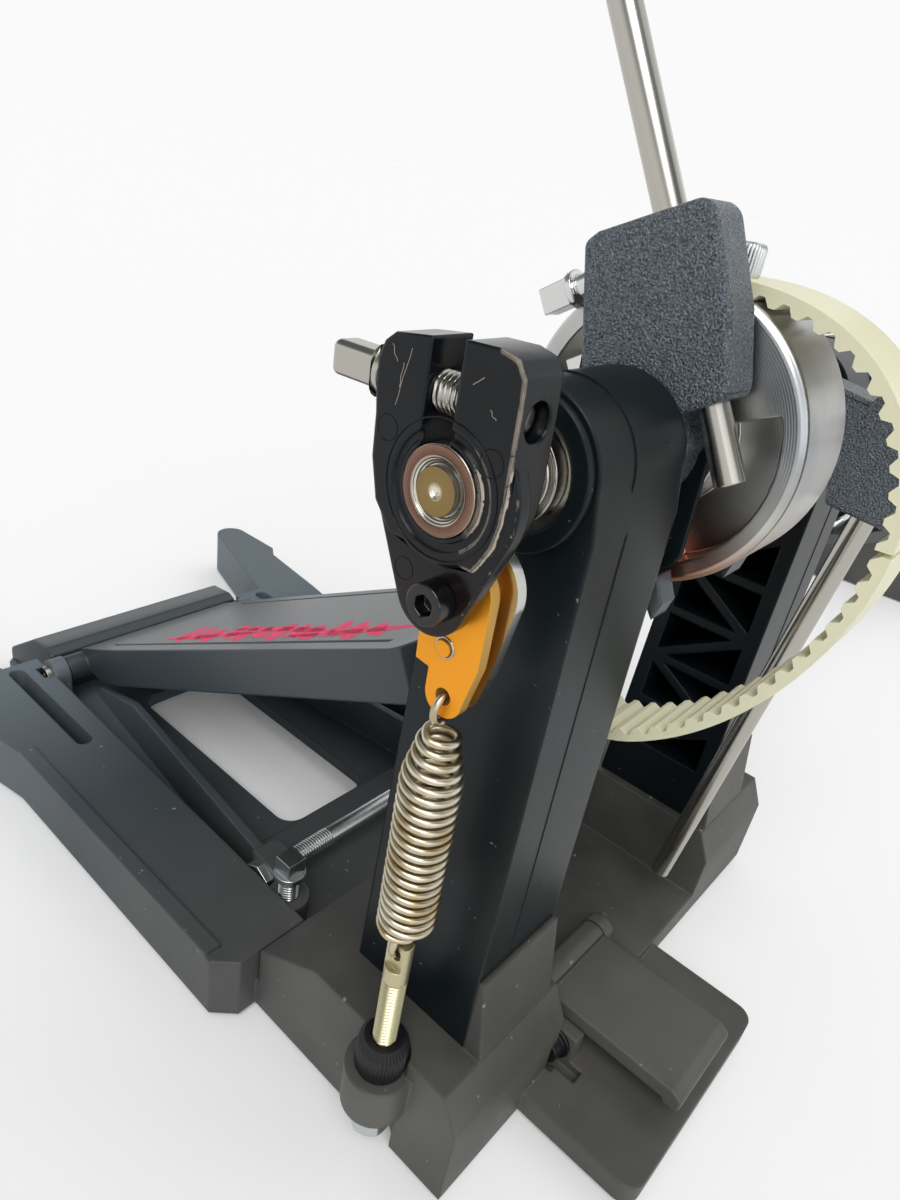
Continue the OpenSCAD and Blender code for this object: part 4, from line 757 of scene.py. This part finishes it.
# Dyed anodising keeps a metal's glint in a full orange gold. Sawn edges are paler
gold_anodise, tree, shader = finish_of("gold anodised aluminium", "#f7a21f", 0.36, 0.6)
grain(tree, shader, 0.3, 0.015)
rounded(tree, shader, 0.25)
sawn = add(tree, "ShaderNodeSeparateXYZ", [(0, add(tree, "ShaderNodeNewGeometry").outputs["True Normal"])])
level = add(tree, "ShaderNodeMath", [(0, sawn.outputs["X"])], operation="ABSOLUTE")
face_on = add(tree, "ShaderNodeMapRange", [("Value", level.outputs[0])])
face_on.inputs["From Min"].default_value = 0.6
face_on.inputs["From Max"].default_value = 0.9
tinted = add(tree, "ShaderNodeMix", [(0, face_on.outputs[0])], data_type="RGBA", in_6=linear("#c79a45"),
             in_7=linear("#f7a21f"))
tree.links.new(tinted.outputs[2], shader.inputs["Base Color"])
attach(dressed("hanger_plate", gold_anodise, 0.0), "hanger")
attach(tube("rivet_rim", ring_path(73.2, 2.2, 151.0, 1.95), 0.00028, 8, bright_steel), "hanger")
# Nickel over a stamped blank: bright and very slightly wavy
disc_plate, tree, shader = finish_of("bright nickel plate on a stamped disc", "#d3d3d0", 0.2, 1.0)
grain(tree, shader, 1.5, 0.01)
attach(dressed("hanger_disc", disc_plate, 0.0), "hanger")
# The second hanger is a single node, so its disc is gold too
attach(dressed("second_hanger", gold_anodise, 0.0), "second_hanger")


# Springs
# Nickel-plated steel wire, wound cold in close curls that narrow at the top. A loop at each
# end hooks into the hanger's hole and into the tension rod's eye.

# Nickel-plated wire: a warm light metal, yellowed in patches
nickel_wire, tree, shader = finish_of("nickel-plated spring wire", "#d6cfb8", 0.28, 1.0)
mottled(tree, shader, 6.0, "#dbd5c2", "#b39f78", 2.0)
wire_mm = 1.6
curls = 21
taper_curls = 5
top_mm, low_mm = 133.0, 82.5
narrow_mm, wide_mm = 3.5, 5.6
loop_mm = 3.0
eye_mm = low_mm - 9.4
hole_mm = (3.6, 141.5)
spring_mm = 72.0


def spring_path(x_mm):
    """The middle line of a spring: a loop above, curls that widen below the top, a loop below.

    The radius grows from narrow_mm to wide_mm as half a cosine wave over the first curls. A
    Catmull-Rom curve joins the points.
    """
    top_loop, low_loop = hole_mm[1] - loop_mm, eye_mm + loop_mm
    turn = np.radians(np.arange(120, -91, -30))
    above = np.column_stack([loop_mm * np.cos(turn), 0 * turn, top_loop + loop_mm * np.sin(turn)])
    share = np.arange(1, 4) / 4
    turn = -np.pi * (1 - share)
    enter = np.column_stack([share * narrow_mm * np.cos(turn), share * narrow_mm * np.sin(turn),
                             (top_loop - loop_mm) * (1 - share) + top_mm * share])
    count = np.arange(8 * curls + 1) / 8
    growth = (wide_mm - narrow_mm) * (1 - np.cos(np.pi * count / taper_curls)) / 2
    radius = np.where(count < taper_curls, narrow_mm + growth, wide_mm)
    turn = 2 * np.pi * count
    curled = np.column_stack([radius * np.cos(turn), radius * np.sin(turn),
                              top_mm + (low_mm - top_mm) * count / curls])
    share = 1 - np.arange(1, 4) / 4
    turn = np.pi * (1 - share)
    leave = np.column_stack([share * wide_mm * np.cos(turn), share * wide_mm * np.sin(turn),
                             low_mm * share + (low_loop + loop_mm) * (1 - share)])
    turn = np.radians(np.arange(90, 301, 30))
    below = np.column_stack([-loop_mm * np.cos(turn), 0 * turn, low_loop + loop_mm * np.sin(turn)])
    points = np.vstack([above, enter, curled, leave, below])
    padded = np.vstack([2 * points[0] - points[1], points, 2 * points[-1] - points[-2]])
    t = np.arange(6)[:, None] / 6
    before, here, after, later = (padded[i:len(padded) - 3 + i, None] for i in range(4))
    curve = 0.5 * (2 * here + (after - before) * t + (2 * before - 5 * here + 4 * after - later) * t ** 2
                   + (3 * here - before - 3 * after + later) * t ** 3)
    return (np.vstack([curve.reshape(-1, 3), points[-1]]) + (x_mm, hole_mm[0], 0)) / 1000


for part, holder, body, x_mm in (
        ("return_spring", "hanger", "spring", spring_mm),
        ("second_spring", "second_hanger", "second_spring", second_mm - spring_mm)):
    piece = tube(part + "_wire", spring_path(x_mm), wire_mm / 2000, 14, nickel_wire)
    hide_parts(part)
    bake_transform(piece)


# Tension rods, nuts, cross rods and spurs
# Zinc-plated steel screws with rolled threads. Each tension rod ends in a flat eye and runs
# down through the base's ear, between a black knurled thumb nut and a tall lock nut.

rod_mm = (spring_mm, second_mm - spring_mm)


def necked(piece, below_m, keep):
    """Thins a piece's two upright rods below a height, to carry a thread of the full size.

    Two cuts just above each other make a short step, and keep is the share of the thickness
    that stays below it.
    """
    step_m = 0.0006
    work = bmesh.new()
    work.from_mesh(piece.data)
    for height in (below_m, below_m + step_m):
        every = work.verts[:] + work.edges[:] + work.faces[:]
        bmesh.ops.bisect_plane(work, geom=every, plane_co=(0, 0, height), plane_no=(0, 0, 1))
    for vertex in work.verts:
        if vertex.co.z < below_m + step_m / 2:
            middle = np.array([rod_mm[0] if vertex.co.x > 0 else rod_mm[1], hole_mm[0]]) / 1000
            vertex.co.x = middle[0] + (vertex.co.x - middle[0]) * keep
            vertex.co.y = middle[1] + (vertex.co.y - middle[1]) * keep
    work.to_mesh(piece.data)
    work.free()
    return piece


# Passivated zinc: a pale straw-coloured metal
rod_zinc, tree, shader = finish_of("yellowed zinc plate on a rod", "#cdc5a0", 0.36, 1.0)
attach(necked(dressed("tension_rods", rod_zinc, 0.15), 0.0640, 0.72), "frame")
for number, x_mm in enumerate(rod_mm):
    foot = (x_mm, hole_mm[0], 9.5)
    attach(thread(f"rod_thread_{number}", foot, (0, 0, 1), 54.5, 3.0, 1.1, rod_zinc), "frame")
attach(dressed("lock_nuts", zinc_plate, 0.25), "frame")
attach(dressed("cross_rods", zinc_plate, 0.2), "frame")
# Black oxide: dark satin steel that keeps a dull glint
black_oxide, tree, shader = finish_of("black oxide", "#17171a", 0.4, 0.3)
# The nut's seat, its knurled side, its sloping shoulder and its bore
nut_profile = ((3.15, 33.1), (5.9, 33.1), (6.2, 33.5), (6.4, 34.2), (6.4, 41.0), (6.2, 41.8),
               (4.9, 43.8), (3.6, 44.1), (3.15, 43.9), (3.15, 33.1))
for part, body, x_mm in zip(("thumb_nut", "second_thumb_nut"), ("thumb", "second_thumb"), rod_mm):
    nut = knurled(part + "_knurled", (x_mm, hole_mm[0]), nut_profile, 6.0, 46, 0.3, black_oxide)
    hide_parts(part)
    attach(nut, body)
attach(dressed("spur_near", zinc_plate, 0.2), "spur_right")
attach(dressed("spur_far", zinc_plate, 0.2), "spur_left")
for number, (x_mm, body) in enumerate(((49.0, "spur_right"), (-60.0, "spur_left"))):
    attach(thread(f"spur_thread_{number}", (x_mm, -58, 8), (0, 0, 1), 21.5, 3.2, 1.0, zinc_plate), body)
for number, (x_mm, side) in enumerate(((22.0, 1), (second_mm + 22.0, -1))):
    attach(thread(f"cross_rod_thread_{number}", (x_mm, -70, 20), (side, 0, 0), 17.5, 3.3, 1.0, zinc_plate),
            "frame")


# Hoop clamp
# A cast aluminium jaw with the base's powder coat, hinged on a pin. A black flanged bolt in
# its side closes it on the drum's hoop.

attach(dressed("hoop_jaw", powder_coat_painted_sheen, 0.5), "jaw")
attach(dressed("hoop_bolt", black_oxide, 0.4), "jaw_bolt")


# Left shaft, universal joints and drive shaft
# Turned steel shafts with a forked joint at each end. The forks are painted castings on
# hardened crosses, and a steel tube slides over a zinc-plated bar between them.

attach(dressed("left_shaft", bright_steel, 0.25), "left_drive")
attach(dressed("joint_yokes", post_paint, 0.4), "left_drive")
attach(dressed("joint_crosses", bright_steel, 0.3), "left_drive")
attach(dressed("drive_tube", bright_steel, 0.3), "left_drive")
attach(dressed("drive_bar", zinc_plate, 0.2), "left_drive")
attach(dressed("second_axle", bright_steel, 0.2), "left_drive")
